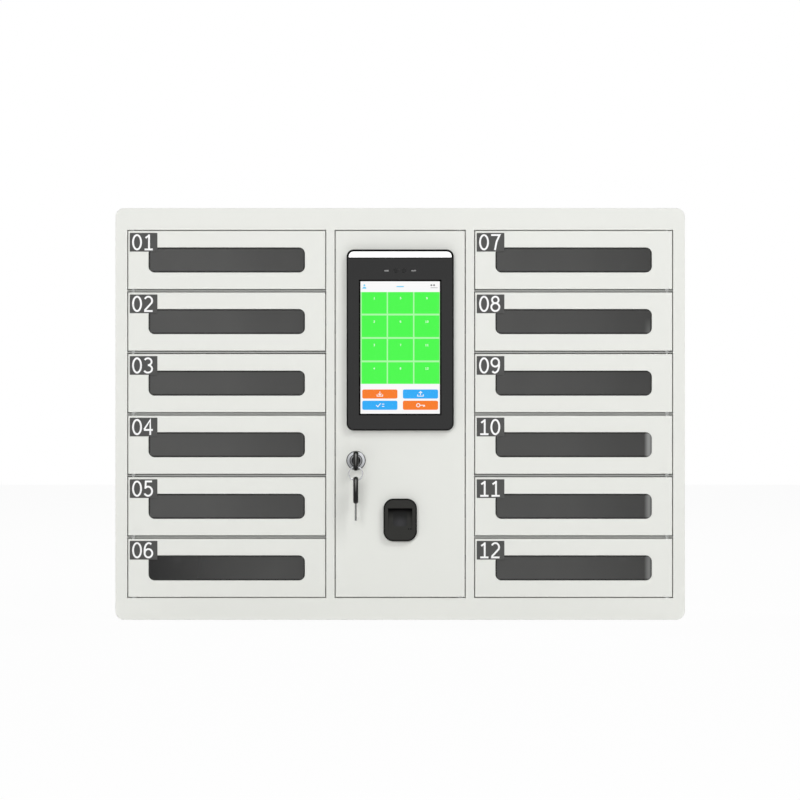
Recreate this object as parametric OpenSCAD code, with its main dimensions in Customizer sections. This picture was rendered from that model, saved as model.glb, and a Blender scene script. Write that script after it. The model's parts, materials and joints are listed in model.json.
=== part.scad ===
// Locker for phones: twelve small electric doors in two columns, a service
// door with a touch terminal, a fingerprint reader and a keyed cam lock.
// X is the width, the front faces -Y, +Z is up, and the origin is the centre
// of the base. Every size is in millimetres.

/* [Cabinet] */
// Width of the cabinet
cabinet_w = 650; // [560:1:900]
// Height of the cabinet
cabinet_h = 470; // [440:1:700]
// Depth from the front face to the back
cabinet_d = 200; // [170:1:320]
// Radius of the four long corners
corner_r = 10; // [4:0.5:16]
// Thickness of the shell, front and back sheets
sheet_t = 1.2; // [1:0.1:1.6]
// Width of the front face outside each cell column
side_margin = 13.5; // [12:0.5:30]
// Height of the front face above and below the doors
end_margin = 25; // [20:0.5:50]
// Width of the post between a cell column and the centre bay
post_w = 9.75; // [9:0.25:20]
// Width of the centre bay's opening
bay_w = 149.5; // [145:0.5:200]
// Depth of the flanges that turn in round the three openings
return_d = 12; // [10:0.5:16]

/* [Cells] */
// Cells in each column
rows = 6; // [3:1:6]
// Gap round every door
door_gap = 0.9; // [0.8:0.05:1.5]
// Thickness of a shelf's folded front lip
lip_t = 1.8; // [1.6:0.1:3]
// Distance of the back of the fold under a shelf's lip behind the front face
lip_d = 11; // [8:0.5:12]
// Distance of the lip behind the front face
lip_setback = 3.2; // [2:0.1:4]
// Width of the ears that carry the pins in front of the lips
ear_w = 4.6; // [4:0.1:5.4]
// Distance of the ears behind the front face
ear_setback = 1; // [0.6:0.1:1.1]
// Sheet thickness of the shelves and the bay partitions
inner_t = 0.9; // [0.7:0.1:1.2]

/* [Doors] */
// Sheet thickness of a cell door
door_t = 1; // [0.8:0.1:1.2]
// Depth of a cell door's folded edges
door_d = 14; // [12:0.5:15]
// Depth of the service door's folded edges
service_d = 12; // [10:0.5:12.5]
// Radius of the bends round a door's face
door_bend_r = 1.2; // [1:0.1:1.4]
// Width of the window's cut-out
window_w = 178.5; // [100:0.5:190]
// Height of the window's cut-out
window_h = 28.6; // [16:0.1:34]
// Corner radius of the window's cut-out
window_r = 7; // [3:0.5:8]
// Thickness of the window pane
pane_t = 2.5; // [1.5:0.1:4]
// Overlap of the pane behind the cut-out's edge
pane_lap = 5; // [3:0.5:8]

/* [Hinges] */
// Diameter of the hinge pins
pin_d = 3; // [2.4:0.1:3.6]
// Distance of the pin from the door's hinge edge
pin_inset = 6; // [5:0.1:7]
// Distance of the pin behind the door's face
pin_setback = 3; // [2.8:0.1:3.5]
// Radial clearance of a door on its pin
pin_fit = 0.05; // [0.02:0.01:0.09]
// Length of pin beyond the sheet that it carries or is riveted in
pin_reach = 1.5; // [1:0.1:2.5]
// Diameter of the collar that keeps two doors apart
collar_d = 5.2; // [4.5:0.1:5.6]
// Height of the collar
collar_h = 0.6; // [0.4:0.05:0.7]

/* [Electric locks] */
// Length of an electric lock, across the bay
lock_l = 30; // [27:0.5:34]
// Depth of an electric lock, front to back
lock_d = 28; // [24:0.5:40]
// Height of an electric lock
lock_h = 27; // [20:0.5:34]
// Distance of the locks behind the front face
lock_setback = 22; // [20:0.5:23]
// Front to back size of a lock's bolt
bolt_d = 8; // [6:0.5:9]
// Height of a lock's bolt
bolt_h = 10; // [8:0.5:12]
// Length of the bolt that stays in the lock when it is thrown
bolt_tail = 13; // [11:0.5:14]
// Travel of the bolt
bolt_travel = 8; // [7.5:0.5:8]
// Clearance round the bolt
bolt_fit = 0.3; // [0.2:0.05:0.5]
// Distance of the strike from the door's latch edge
strike_inset = 3.5; // [3:0.1:4.5]
// Thickness of the strike
strike_t = 1.5; // [1.2:0.1:2]
// Metal left round the strike's hole
strike_rim = 3.7; // [3:0.1:4]

/* [Terminal] */
// Width of the terminal
term_w = 122; // [100:0.5:122]
// Height of the terminal
term_h = 206.3; // [180:0.1:206.5]
// Depth of the terminal in front of the door
term_d = 10; // [8:0.5:11]
// Corner radius of the terminal
term_r = 8; // [7:0.5:12]
// Distance of the terminal below the service door's top edge
term_drop = 21.7; // [15:0.1:40]
// Wall of the terminal's case
term_wall = 1.4; // [1.2:0.1:2]
// Depth of the terminal's body behind the door sheet
term_back_d = 14; // [10:0.5:16]
// Height of the light bar
bar_h = 7.6; // [5:0.1:9]
// Thickness of the front glass
glass_t = 1.1; // [0.8:0.1:2]
// Width of the picture on the display
screen_w = 90.4; // [80:0.1:94]
// Height of the picture on the display
screen_h = 150.8; // [120:0.1:154]
// Distance of the picture above the terminal's lower edge
screen_rise = 19.2; // [16:0.1:21]
// Radius of a camera lens
lens_r = 2.6; // [2:0.1:4]

/* [Fingerprint reader] */
// Width of the reader
reader_w = 38.2; // [34:0.1:44]
// Height of the reader
reader_h = 48.7; // [42:0.1:56]
// Depth of the reader in front of the door
reader_d = 9; // [7.5:0.5:12]
// Corner radius of the reader
reader_r = 11.5; // [9:0.5:15]
// Distance of the reader's middle below the terminal
reader_drop = 102; // [80:0.5:110]
// Width of the finger scoop
scoop_w = 27.5; // [22:0.5:29]
// Depth of the scoop at its upper end
scoop_d = 6; // [4:0.5:6.5]
// Height of the scoop
scoop_h = 27; // [24:0.5:30]

/* [Cam lock and keys] */
// Distance of the lock's axis below the terminal
cam_drop = 34.3; // [28:0.1:40]
// Distance of the lock's axis from the bay's left opening edge
cam_inset = 24.35; // [22:0.05:26]
// Diameter of the lock's front flange
rim_d = 22; // [20:0.5:24]
// Thickness of the lock's front flange
rim_t = 1.6; // [1:0.1:2.5]
// Diameter of the threaded barrel
barrel_d = 18; // [16:0.5:19]
// Length of the barrel behind the flange
barrel_l = 16.5; // [15:0.5:17.5]
// Diameter of the turning plug
plug_d = 13; // [11:0.5:14]
// Radial clearance of the plug in its barrel
plug_fit = 0.05; // [0.02:0.01:0.09]
// Distance of the plug's face behind the flange's
plug_sink = 1.6; // [0.2:0.1:2.4]
// Length of the tongue from the lock's axis
tongue_l = 28; // [27:0.1:28.2]
// Width of the tongue
tongue_w = 12; // [10:0.5:14]
// Thickness of the tongue
tongue_t = 2; // [1.5:0.1:2.5]
// Forward step in the tongue, towards the frame's flange
tongue_step = 3.4; // [2:0.1:4]
// Length of a key's bow
bow_l = 30.5; // [26:0.5:34]
// Width of a key's bow
bow_w = 22.5; // [20:0.5:26]
// Thickness of a key's bow
bow_t = 5.6; // [5:0.1:6]
// Radius of the bow's long edges
bow_edge_r = 2; // [0.5:0.1:2.4]
// Material between the bow's slot and its edge
bow_rim = 3; // [2.5:0.1:4]
// Width of the slot for the ring
slot_w = 4; // [3.5:0.1:5]
// Length of a key's blade
blade_l = 19.5; // [18:0.5:21]
// Width of a key's blade
blade_w = 8; // [7:0.1:9]
// Thickness of a key's blade
blade_t = 2.2; // [1.8:0.1:2.6]
// Width of the grooves along a blade
groove_w = 1.6; // [1:0.1:2]
// Depth of the grooves along a blade
groove_d = 0.5; // [0.3:0.1:0.6]
// Outside diameter of the key ring
ring_od = 17; // [16.5:0.5:24]
// Thickness of the ring's wire
ring_wire = 1.3; // [1:0.1:1.6]
// Clearance between the ring and what hangs on it
ring_gap = 0.3; // [0.2:0.05:0.5]

/* [Electronics] */
// Width of the control board
board_w = 126; // [100:1:130]
// Height of the control board
board_h = 190; // [160:1:220]
// Distance of the board from the back panel
board_off = 10; // [6:0.5:20]
// Width of the power supply
supply_w = 110; // [90:1:130]
// Depth of the power supply
supply_d = 79; // [70:1:100]
// Height of the power supply
supply_h = 36; // [28:1:42]
// Height of the power inlet's middle above the base
inlet_z = 72; // [66:0.5:80]
// Width of the inlet's face in the back panel
inlet_w = 27; // [26:0.1:30]
// Height of the inlet's face in the back panel
inlet_h = 19.2; // [18.6:0.1:22]
// Ventilation slots in each half of the back panel
vents = 7; // [3:1:10]
// Length of a ventilation slot
vent_l = 44; // [20:1:50]
// Width of a ventilation slot
vent_w = 3.6; // [2:0.1:5]
// Distance from one ventilation slot to the next
vent_pitch = 9; // [7:0.5:12]

/* [Fixing] */
// Distance of the wall fixing holes from the cabinet's sides
fix_side = 60; // [40:1:100]
// Distance of the wall fixing holes from the cabinet's top and base
fix_end = 60; // [50:1:66]
// Diameter of the wall fixing holes
fix_d = 9; // [6:0.5:12]

/* [Hidden] */
CELLS = [for (n = [1:2 * rows]) str(n < 10 ? "0" : "", n)];
$fn = 64;

paint = [0.91, 0.92, 0.9];
zinc = [0.72, 0.73, 0.75];
smoke = [0.34, 0.34, 0.34];
black = [0.16, 0.16, 0.16];
chrome = [0.85, 0.86, 0.88];
steel = [0.62, 0.63, 0.65];
board_green = [0.1, 0.36, 0.22];

// Faces of the cabinet
front_y = -cabinet_d / 2;
back_y = cabinet_d / 2;
inside_x = cabinet_w / 2 - sheet_t;
// Openings in the front face
col_w = (cabinet_w - 2 * side_margin - 2 * post_w - bay_w) / 2;
opening_h = cabinet_h - 2 * end_margin;
col_x = -cabinet_w / 2 + side_margin;
// Cells and their doors
door_h = (opening_h - (rows - 1) * lip_t - 2 * rows * door_gap) / rows;
door_w = col_w - 2 * door_gap;
pitch = door_h + 2 * door_gap + lip_t;
service_w = bay_w - 2 * door_gap;
service_h = opening_h - 2 * door_gap;
service_z = end_margin + door_gap;
// Partitions stand in the middle of the posts
partition_x = bay_w / 2 + post_w / 2 - inner_t / 2;
// Hinge axes
hinge_x = col_x + door_gap + pin_inset;
hinge_y = front_y + pin_setback;
service_hinge_x = bay_w / 2 - door_gap - pin_inset;
// Electric locks and strikes, seen from a door's hinge corner
lock_y = front_y + lock_setback;
bolt_y = lock_y + bolt_d;
strike_x = door_w - strike_inset - strike_t;
strike_reach = lock_setback + 1.5 * bolt_d + bolt_fit + strike_rim;
strike_h = bolt_h + 2 * bolt_fit + 2 * strike_rim;
bolt_tip_past = 2.5;
strike_foot = 9;
// Ears of an electric lock, with its coil housing and lead socket
ear_l = 6;
ear_t = 1.5;
ear_in = 4;
ear_hole = 3.2;
coil_l = 10;
coil_in = 3;
plug_in = 8;
plug_l = 6;
plug_w = 10;
plug_h = 8;
bolt_out = post_w / 2 + inner_t / 2 + door_gap + strike_inset + strike_t + bolt_tip_past;
// Terminal
term_top = service_z + service_h - term_drop;
term_z = term_top - term_h;
term_y = front_y - term_d;
term_boss_w = term_w - 14;
term_boss_h = term_h - 20;
term_boss_r = 4;
// Clearance round what passes through a cut-out in a sheet
cut_fit = 0.4;
glass_top = term_top - term_wall - bar_h - 1;
screen_z = term_z + screen_rise;
lens_z = (screen_z + screen_h + glass_top) / 2 - 1;
// Display's edge round its picture, its glass and frame, and the board on its back
display_edge = 4;
display_t = 3.2;
display_board_t = 1.2;
// Camera board, and the places of its lenses and lamps
eye_board_w = 44;
eye_board_h = 12;
eye_board_t = 1.6;
eye_l = 3;
lens_x = 4.9;
lamp_x = 15.5;
lamp_w = 5.5;
lamp_h = 1.8;
// Fingerprint reader
reader_z = term_z - reader_drop;
reader_boss = 22;
reader_boss_r = 3;
reader_y = front_y - reader_d;
reader_back_d = 12;
// Scoop's upper end above the reader's middle, and the window set in its floor
scoop_top = 12.8;
window_sink = 0.8;
sensor_w = 16;
sensor_h = 18;
sensor_r = 3;
// Cam lock and keys
cam_x = -bay_w / 2 + cam_inset;
cam_z = term_z - cam_drop;
rim_y = front_y - rim_t;
barrel_end = front_y + barrel_l;
tongue_hole = 10.4;
tongue_tip = 10;
nut_l = 3;
key_y = rim_y - 1;
ring_mid_r = (ring_od - ring_wire) / 2;
ring_y = key_y - bow_l + bow_rim + slot_w / 2;
// The ring touches a bow at the bow's two faces
ring_clear = sqrt(pow(ring_mid_r - ring_wire / 2, 2) - pow(bow_t / 2, 2)) - ring_gap;
slot_l = bow_w - 2 * bow_rim;
// Corner radius of the bow, length of blade in it, and the square that cuts the blade's point
bow_r = 7;
bow_hold = 6;
point_cut = 3.4;
ring_z = cam_z - slot_l / 2 - ring_clear;
spare_top = ring_z - ring_clear + bow_rim;

// Control board and what stands on it
board_t = 1.6;
board_y = back_y - sheet_t - board_off;
board_z = cabinet_h / 2 - board_h / 2;
pillar_d = 6;
pillar_in = 7;
relay = [16, 15, 19];
relay_x = 36;
relay_pitch = 26;
row_z = 22;
socket = [8, 10, 136];
socket_x = 54;
chip = [24, 2, 24];
chip_z = 90;
cap_d = 10;
cap_l = 14;
cap_pitch = 16;
// Power supply
supply_y = back_y - sheet_t - inner_t - supply_d - 4;
terminals_d = 9;
terminals_h = 18;
terminals_in = 6;
supply_slots = 9;
supply_slot_w = 4;
supply_slot_in = 12;
// Mains inlet: flange with its screw ears, body, socket and blades
inlet_back = back_y - sheet_t;
inlet_flange_t = 3;
inlet_flange = [34, 23];
inlet_ears = [50, 12];
inlet_body = [28, 21];
inlet_body_l = 20;
inlet_screw_x = 20;
inlet_screw_d = 3.4;
inlet_socket = [24.4, 16.6];
inlet_socket_l = 17;
inlet_corner = 4;
blades = [[-7, 1.4], [0, -1.4], [7, 1.4]];
inlet_blade = [2, 4];
inlet_blade_l = 13;
// Ventilation slots and lead holes
vent_x = 32;
vent_drop = 24;
lead_hole_d = 8;
lead_hole_in = 30;
flange_w = 10;

// Row of a cell, counted from the top, and its column: -1 left, 1 right
function row_of(n) = (n - 1) % rows;
function side_of(n) = n <= rows ? -1 : 1;
function door_z(n) = service_z + (rows - 1 - row_of(n)) * pitch;
// Lower face and thickness of the sheet under row line k, 0 being the lowest
function line_z(k) = k == 0 ? end_margin - sheet_t
    : k == rows ? cabinet_h - end_margin : end_margin + k * pitch - lip_t;
function line_t(k) = k == 0 || k == rows ? sheet_t : lip_t;

// Rectangle with round corners about the origin
module round_rect(w, h, r) {
    square([w - 2 * r, h], center = true);
    square([w, h - 2 * r], center = true);
    for (x = [-1, 1], y = [-1, 1])
        translate([x * (w / 2 - r), y * (h / 2 - r)]) circle(r);
}

// Slot with round ends along x, about the origin
module slot_2d(l, w) {
    square([l - w, w], center = true);
    for (x = [-1, 1]) translate([x * (l - w) / 2, 0]) circle(w / 2);
}

// Stands a drawing up in the x-z plane, from y to y + t
module upright(y, t) {
    translate([0, y + t, 0]) rotate([90, 0, 0]) linear_extrude(t) children();
}

// Draws its children on the left and mirrored on the right
module both_sides() {
    children();
    mirror([1, 0, 0]) children();
}

// Places a cell's piece, drawn from the door's hinge corner with +x to the latch
module at_cell(n) {
    mirror([side_of(n) < 0 ? 0 : 1, 0, 0])
        translate([col_x + door_gap, front_y, door_z(n)]) children();
}

module outline(inset) {
    translate([0, cabinet_h / 2])
        round_rect(cabinet_w - 2 * inset, cabinet_h - 2 * inset, corner_r - inset);
}

module openings(grow) {
    both_sides() translate([col_x - grow, end_margin - grow])
        square([col_w + 2 * grow, opening_h + 2 * grow]);
    translate([-bay_w / 2 - grow, end_margin - grow])
        square([bay_w + 2 * grow, opening_h + 2 * grow]);
}

module outer_shell() {
    color(paint) upright(front_y + sheet_t, cabinet_d - 2 * sheet_t) difference() {
        outline(0);
        outline(sheet_t);
    }
}

// Face sheet with flanges turned in round the openings
module front_frame() {
    color(paint) difference() {
        union() {
            upright(front_y, sheet_t) difference() {
                outline(0);
                openings(0);
            }
            upright(front_y + sheet_t, return_d - sheet_t) difference() {
                openings(sheet_t);
                openings(0);
            }
        }
        hinge_pins_solid();
    }
}

module vent_slots() {
    for (x = [-1, 1], i = [0:vents - 1])
        translate([x * vent_x, cabinet_h - end_margin - vent_drop - i * vent_pitch])
            slot_2d(vent_l, vent_w);
}

module inlet_hole() {
    translate([0, inlet_z]) square([inlet_w + cut_fit, inlet_h + cut_fit], center = true);
}

// Socket outline with its two lower corners cut off
module socket_outline(w, h, cut) {
    polygon([[-w / 2, h / 2], [w / 2, h / 2], [w / 2, cut - h / 2], [w / 2 - cut, -h / 2],
        [cut - w / 2, -h / 2], [-w / 2, cut - h / 2]]);
}

// Back sheet with wall fixing holes, vents and the inlet's cut-out
module back_panel() {
    color(paint) upright(back_y - sheet_t, sheet_t) difference() {
        outline(0);
        for (x = [-1, 1], z = [fix_end, cabinet_h - fix_end])
            translate([x * (cabinet_w / 2 - fix_side), z]) circle(fix_d / 2);
        vent_slots();
        inlet_hole();
    }
}

module bay_partitions() {
    tall = cabinet_h - 2 * sheet_t;
    color(paint) both_sides() difference() {
        union() {
            translate([-partition_x - inner_t, front_y + sheet_t, sheet_t])
                cube([inner_t, cabinet_d - 2 * sheet_t, tall]);
            // Flange that is spot-welded to the back panel
            translate([-partition_x, back_y - sheet_t - inner_t, sheet_t])
                cube([flange_w, inner_t, tall]);
        }
        for (r = [1:rows]) bolt_way(r, inner_t + 1, 0.5);
        // Ways for the lock leads into the bay
        for (r = [1:rows])
            translate([-partition_x, back_y - lead_hole_in, door_z(r) + door_h / 2])
                rotate([0, 90, 0]) cylinder(d = lead_hole_d, h = 3 * inner_t, center = true);
    }
}

// Straight way of a left-hand bolt, from the lock's face out towards the door
module bolt_way(n, reach, clear) {
    translate([-partition_x - reach, bolt_y - bolt_d / 2 - clear,
            door_z(n) + door_h / 2 - bolt_h / 2 - clear])
        cube([reach + 1, bolt_d + 2 * clear, bolt_h + 2 * clear]);
}

// One shelf, its top face at the top of the lip
module shelf(z, lip) {
    deep = cabinet_d - sheet_t - return_d;
    difference() {
        union() {
            translate([-inside_x, front_y + return_d, z + lip - inner_t])
                cube([inside_x - partition_x - inner_t, deep, inner_t]);
            translate([col_x, front_y + lip_setback, z + lip - inner_t])
                cube([col_w, return_d - lip_setback, inner_t]);
            // Hem that stiffens the edge between two doors
            translate([col_x, front_y + lip_setback, z])
                cube([col_w, lip_d - lip_setback, lip]);
            // Ear round the hinge pin
            translate([hinge_x - ear_w / 2, front_y + ear_setback, z])
                cube([ear_w, lip_setback - ear_setback + 1, lip]);
        }
        hinge_pins_solid();
    }
}

module cell_shelves() {
    color(paint) both_sides() {
        for (k = [1:rows - 1]) shelf(line_z(k), lip_t);
        // Floor of the lowest cell, behind the frame's flange
        translate([-inside_x, front_y + return_d, end_margin - inner_t])
            cube([inside_x - partition_x - inner_t, cabinet_d - sheet_t - return_d, inner_t]);
    }
}

// Pin through row line k, with its collar
module hinge_pin(k) {
    down = k > 0 ? door_gap + door_t + pin_reach : pin_reach;
    up = k < rows ? door_gap + door_t + pin_reach : pin_reach;
    translate([0, 0, line_z(k) - down]) cylinder(d = pin_d, h = down + line_t(k) + up);
    if (k < rows)
        translate([0, 0, line_z(k) + line_t(k)]) cylinder(d = collar_d, h = collar_h);
}

module hinge_pins_solid() {
    both_sides() translate([hinge_x, hinge_y, 0])
        for (k = [0:rows]) hinge_pin(k);
    translate([service_hinge_x, hinge_y, 0])
        for (k = [0, rows]) hinge_pin(k);
}

module hinge_pins() {
    color(zinc) hinge_pins_solid();
}

// Electric lock on the bay side of a partition, with its ears and lead socket
module lock_body(n) {
    room = [bolt_tail + bolt_travel + 2, bolt_d + 2 * bolt_fit, bolt_h + 2 * bolt_fit];
    difference() {
        translate([-partition_x, lock_y, door_z(n) + door_h / 2]) union() {
            translate([0, 0, -lock_h / 2]) cube([lock_l, lock_d, lock_h]);
            translate([0, ear_in, -lock_h / 2 - ear_l]) difference() {
                cube([ear_t, lock_d - 2 * ear_in, lock_h + 2 * ear_l]);
                for (z = [ear_l / 2, lock_h + 1.5 * ear_l])
                    translate([0, lock_d / 2 - ear_in, z]) rotate([0, 90, 0])
                        cylinder(d = ear_hole, h = 3 * ear_t, center = true);
            }
            // Coil housing and lead socket
            translate([2 * coil_in, lock_d, coil_in - lock_h / 2])
                cube([lock_l - 3 * coil_in - 1, coil_l, lock_h - 2 * coil_in]);
            translate([plug_in, lock_d + coil_l, -plug_h / 2]) cube([plug_w, plug_l, plug_h]);
        }
        bolt_way(n, 1, bolt_fit);
        translate([-partition_x - 1, bolt_y, door_z(n) + door_h / 2])
            translate([0, -room.y / 2, -room.z / 2]) cube(room);
    }
}

module lock_bodies() {
    color(zinc) both_sides() for (n = [1:rows]) lock_body(n);
}

// Sprung bolt: a bar whose nose is cut back on the side that the door meets
module lock_bolt(n) {
    nose = bolt_d * 0.75;
    color(steel) mirror([side_of(n) < 0 ? 0 : 1, 0, 0])
        translate([-partition_x, bolt_y, door_z(n) + door_h / 2 - bolt_h / 2])
        linear_extrude(bolt_h) polygon([
            [bolt_tail, -bolt_d / 2], [bolt_tail, bolt_d / 2],
            [-bolt_out, bolt_d / 2], [-bolt_out, bolt_d / 2 - 2],
            [-bolt_out + nose, -bolt_d / 2]]);
}

// Section through a pan's block, with both front corners round
module pan_section(w, d) {
    translate([door_bend_r, 0]) square([w - 2 * door_bend_r, d]);
    translate([0, door_bend_r]) square([w, d - door_bend_r]);
    for (x = [door_bend_r, w - door_bend_r]) translate([x, door_bend_r]) circle(door_bend_r);
}

// Folded pan, its face towards -y, bent round on all four edges
module pan(w, h, d) {
    difference() {
        intersection() {
            linear_extrude(h) pan_section(w, d);
            translate([0, 0, h]) rotate([0, 90, 0]) linear_extrude(w) pan_section(h, d);
        }
        translate([door_t, door_t, door_t]) cube([w - 2 * door_t, d, h - 2 * door_t]);
    }
}

// Angle on the door's back with the hole that the bolt enters
module strike() {
    translate([strike_x, door_t, door_h / 2]) difference() {
        union() {
            rotate([0, 90, 0]) linear_extrude(strike_t) {
                translate([-strike_h / 2, 0]) square([strike_h, strike_reach - door_t - 3]);
                translate([0, strike_reach - door_t - 5]) round_rect(strike_h, 10, 3);
            }
            translate([-strike_foot, 0, -strike_h / 2])
                cube([strike_foot + strike_t, strike_t, strike_h]);
        }
        translate([-1, lock_setback + bolt_d / 2 - door_t - bolt_fit,
                -bolt_h / 2 - bolt_fit])
            cube([strike_t + 2, bolt_d + 2 * bolt_fit, bolt_h + 2 * bolt_fit]);
    }
}

module cell_door(n) {
    color(paint) at_cell(n) difference() {
        union() {
            pan(door_w, door_h, door_d);
            strike();
        }
        translate([door_w / 2, 0, door_h / 2]) upright(-1, door_t + 2)
            round_rect(window_w, window_h, window_r);
        translate([pin_inset, pin_setback, -1])
            cylinder(r = pin_d / 2 + pin_fit, h = door_h + 2);
    }
}

module window(n) {
    color(smoke) at_cell(n) translate([door_w / 2, 0, door_h / 2]) upright(door_t, pane_t)
        round_rect(window_w + 2 * pane_lap, window_h + 2 * pane_lap, window_r + pane_lap);
}

module service_door() {
    color(paint) difference() {
        translate([-service_w / 2, front_y, service_z]) pan(service_w, service_h, service_d);
        translate([service_hinge_x, hinge_y, service_z - 1])
            cylinder(r = pin_d / 2 + pin_fit, h = service_h + 2);
        upright(front_y - 1, door_t + 2) {
            translate([0, term_z + term_h / 2])
                round_rect(term_boss_w + 2 * cut_fit, term_boss_h + 2 * cut_fit, term_boss_r + cut_fit);
            translate([0, reader_z]) round_rect(reader_boss + 2 * cut_fit,
                reader_boss + 2 * cut_fit, reader_boss_r + cut_fit);
            translate([cam_x, cam_z]) barrel_section(cut_fit / 2);
        }
    }
}

// Case with a rim round the glass and a tub that passes through the door
module terminal_case() {
    mid = term_z + term_h / 2;
    color(black) difference() {
        union() {
            upright(term_y, term_d) translate([0, mid]) round_rect(term_w, term_h, term_r);
            upright(front_y, term_back_d) translate([0, mid])
                round_rect(term_boss_w, term_boss_h, term_boss_r);
        }
        upright(term_y - 1, glass_t + 1) glass_outline(0);
        upright(term_y - 1, glass_t + 1.6) bar_outline();
        // Well for the display and the camera
        upright(term_y, term_d + term_back_d - 2) well_outline(0);
    }
}

module glass_outline(inset) {
    low = term_z + term_wall;
    half = term_w / 2 - term_wall;
    r = term_r - term_wall;
    difference() {
        translate([0, (low + glass_top) / 2 + r])
            round_rect(2 * (half - inset), glass_top - low + 2 * r - 2 * inset, r - inset);
        translate([-half, glass_top - inset]) square([2 * half, 4 * r]);
    }
}

module bar_outline() {
    half = term_w / 2 - term_wall;
    r = term_r - term_wall;
    low = term_top - term_wall - bar_h;
    difference() {
        translate([0, low + bar_h - 2 * r]) round_rect(2 * half, 4 * r, r);
        translate([-half - 1, low - 4 * r]) square([2 * half + 2, 4 * r]);
    }
}

module well_outline(inset) {
    low = screen_z - 5 + inset;
    high = lens_z + 9 - inset;
    w = screen_w + 10 - 2 * inset;
    translate([0, (low + high) / 2]) round_rect(w, high - low, 2);
}

module terminal_glass() {
    color([0.08, 0.08, 0.08]) upright(term_y, glass_t) glass_outline(0);
}

module display_panel() {
    w = screen_w + 2 * display_edge;
    h = screen_h + 2 * display_edge;
    color([0.2, 0.5, 0.3]) translate([0, 0, screen_z + screen_h / 2]) {
        upright(term_y + glass_t, display_t) square([w, h], center = true);
        upright(term_y + glass_t + display_t, display_board_t)
            square([w - 6, h - 12], center = true);
    }
}

module light_bar() {
    color("white") upright(term_y, glass_t + 0.6) bar_outline();
}

// Small board with two lenses and two infra-red lamps
module camera_module() {
    y = term_y + glass_t;
    color([0.12, 0.12, 0.12]) {
        upright(y + eye_l, eye_board_t) translate([0, lens_z])
            square([eye_board_w, eye_board_h], center = true);
        upright(y, eye_l) for (x = [-1, 1]) {
            translate([x * lens_x, lens_z]) circle(lens_r);
            translate([x * lamp_x, lens_z]) round_rect(lamp_w, lamp_h, lamp_h / 2 - 0.1);
        }
    }
}

// Moulded housing with a scoop that leads a fingertip onto the window
module fingerprint_reader() {
    color(black) difference() {
        union() {
            upright(reader_y, reader_d) translate([0, reader_z])
                round_rect(reader_w, reader_h, reader_r);
            upright(front_y, reader_back_d) translate([0, reader_z])
                round_rect(reader_boss, reader_boss, reader_boss_r);
        }
        on_scoop_floor() upright(-2 * scoop_d, 2 * scoop_d)
            translate([-scoop_w / 2, -scoop_h]) square([scoop_w, 2 * scoop_h]);
        on_scoop_floor() upright(-1, 1 + window_sink) reader_window_outline();
    }
}

// Lays its children on the scoop's floor, which is flush at its lower end
module on_scoop_floor() {
    translate([0, reader_y, reader_z + scoop_top - scoop_h])
        rotate([-atan2(scoop_d, scoop_h), 0, 0]) children();
}

module reader_window_outline() {
    translate([0, scoop_h * 0.6]) round_rect(sensor_w, sensor_h, sensor_r);
}

module fingerprint_window() {
    color([0.1, 0.1, 0.1]) on_scoop_floor() upright(0, window_sink) reader_window_outline();
}

// Round barrel with two flats, as cut in the door and on the thread
module barrel_section(grow) {
    intersection() {
        circle(barrel_d / 2 + grow);
        square([barrel_d - 2 + 2 * grow, barrel_d + 2 + 2 * grow], center = true);
    }
}

module lock_barrel() {
    nut_w = barrel_d + 5;
    color(chrome) translate([cam_x, 0, cam_z]) difference() {
        union() {
            // Flange with a bevelled edge
            rotate([90, 0, 0]) rotate_extrude() polygon([
                [0, -front_y], [rim_d / 2, -front_y],
                [rim_d / 2, -front_y + rim_t - 0.6], [rim_d / 2 - 0.8, -front_y + rim_t],
                [0, -front_y + rim_t]]);
            upright(front_y, barrel_l) barrel_section(0);
            upright(front_y + door_t, nut_l) circle(nut_w / sqrt(3), $fn = 6);
        }
        upright(rim_y - 1, barrel_l + rim_t + 2) circle(plug_d / 2 + plug_fit);
    }
}

module blade_slot() {
    upright(rim_y - 1, blade_l + 1) square([blade_t + 0.2, blade_w + 0.2], center = true);
}

// Turning plug with its key slot, and a squared tail with a nut for the tongue
module lock_plug() {
    nut_w = plug_d + 2;
    color(chrome) translate([cam_x, 0, cam_z]) difference() {
        union() {
            upright(rim_y + plug_sink, barrel_end + 0.1 - rim_y - plug_sink) circle(plug_d / 2);
            upright(barrel_end + 0.1, tongue_t + 0.3) square(tongue_hole, center = true);
            upright(barrel_end + tongue_t + 0.1, 1.4) circle(nut_w / sqrt(3), $fn = 6);
        }
        blade_slot();
    }
}

// Cranked tongue: hub behind the barrel, tip stepped forward behind the frame
module lock_tongue() {
    y0 = barrel_end + 0.1;
    step_r = barrel_d / 2 + 2;
    color(zinc) translate([cam_x, 0, cam_z]) difference() {
        union() {
            upright(y0, tongue_t) circle(tongue_w / 2 + 2);
            upright(y0, tongue_t) translate([-tongue_w / 2, -step_r - tongue_t])
                square([tongue_w, step_r + tongue_t]);
            upright(y0 - tongue_step, tongue_step + tongue_t)
                translate([-tongue_w / 2, -step_r - tongue_t]) square([tongue_w, tongue_t]);
            upright(y0 - tongue_step, tongue_t) {
                translate([-tongue_w / 2, -tongue_l + 3]) square([tongue_w, tongue_l - 3 - step_r]);
                translate([0, -tongue_l + tongue_tip / 2]) round_rect(tongue_w, tongue_tip, 3);
            }
        }
        upright(y0 - 1, tongue_t + 2) square(tongue_hole, center = true);
    }
}

// Block of a key's bow, its long edges round seen from its end and from its side
module bow_block() {
    intersection() {
        rotate([90, 0, 0]) linear_extrude(bow_l) round_rect(bow_t, bow_w, bow_edge_r);
        translate([0, -bow_l / 2, -bow_w / 2]) linear_extrude(bow_w)
            round_rect(bow_t, bow_l, bow_edge_r);
    }
}

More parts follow.
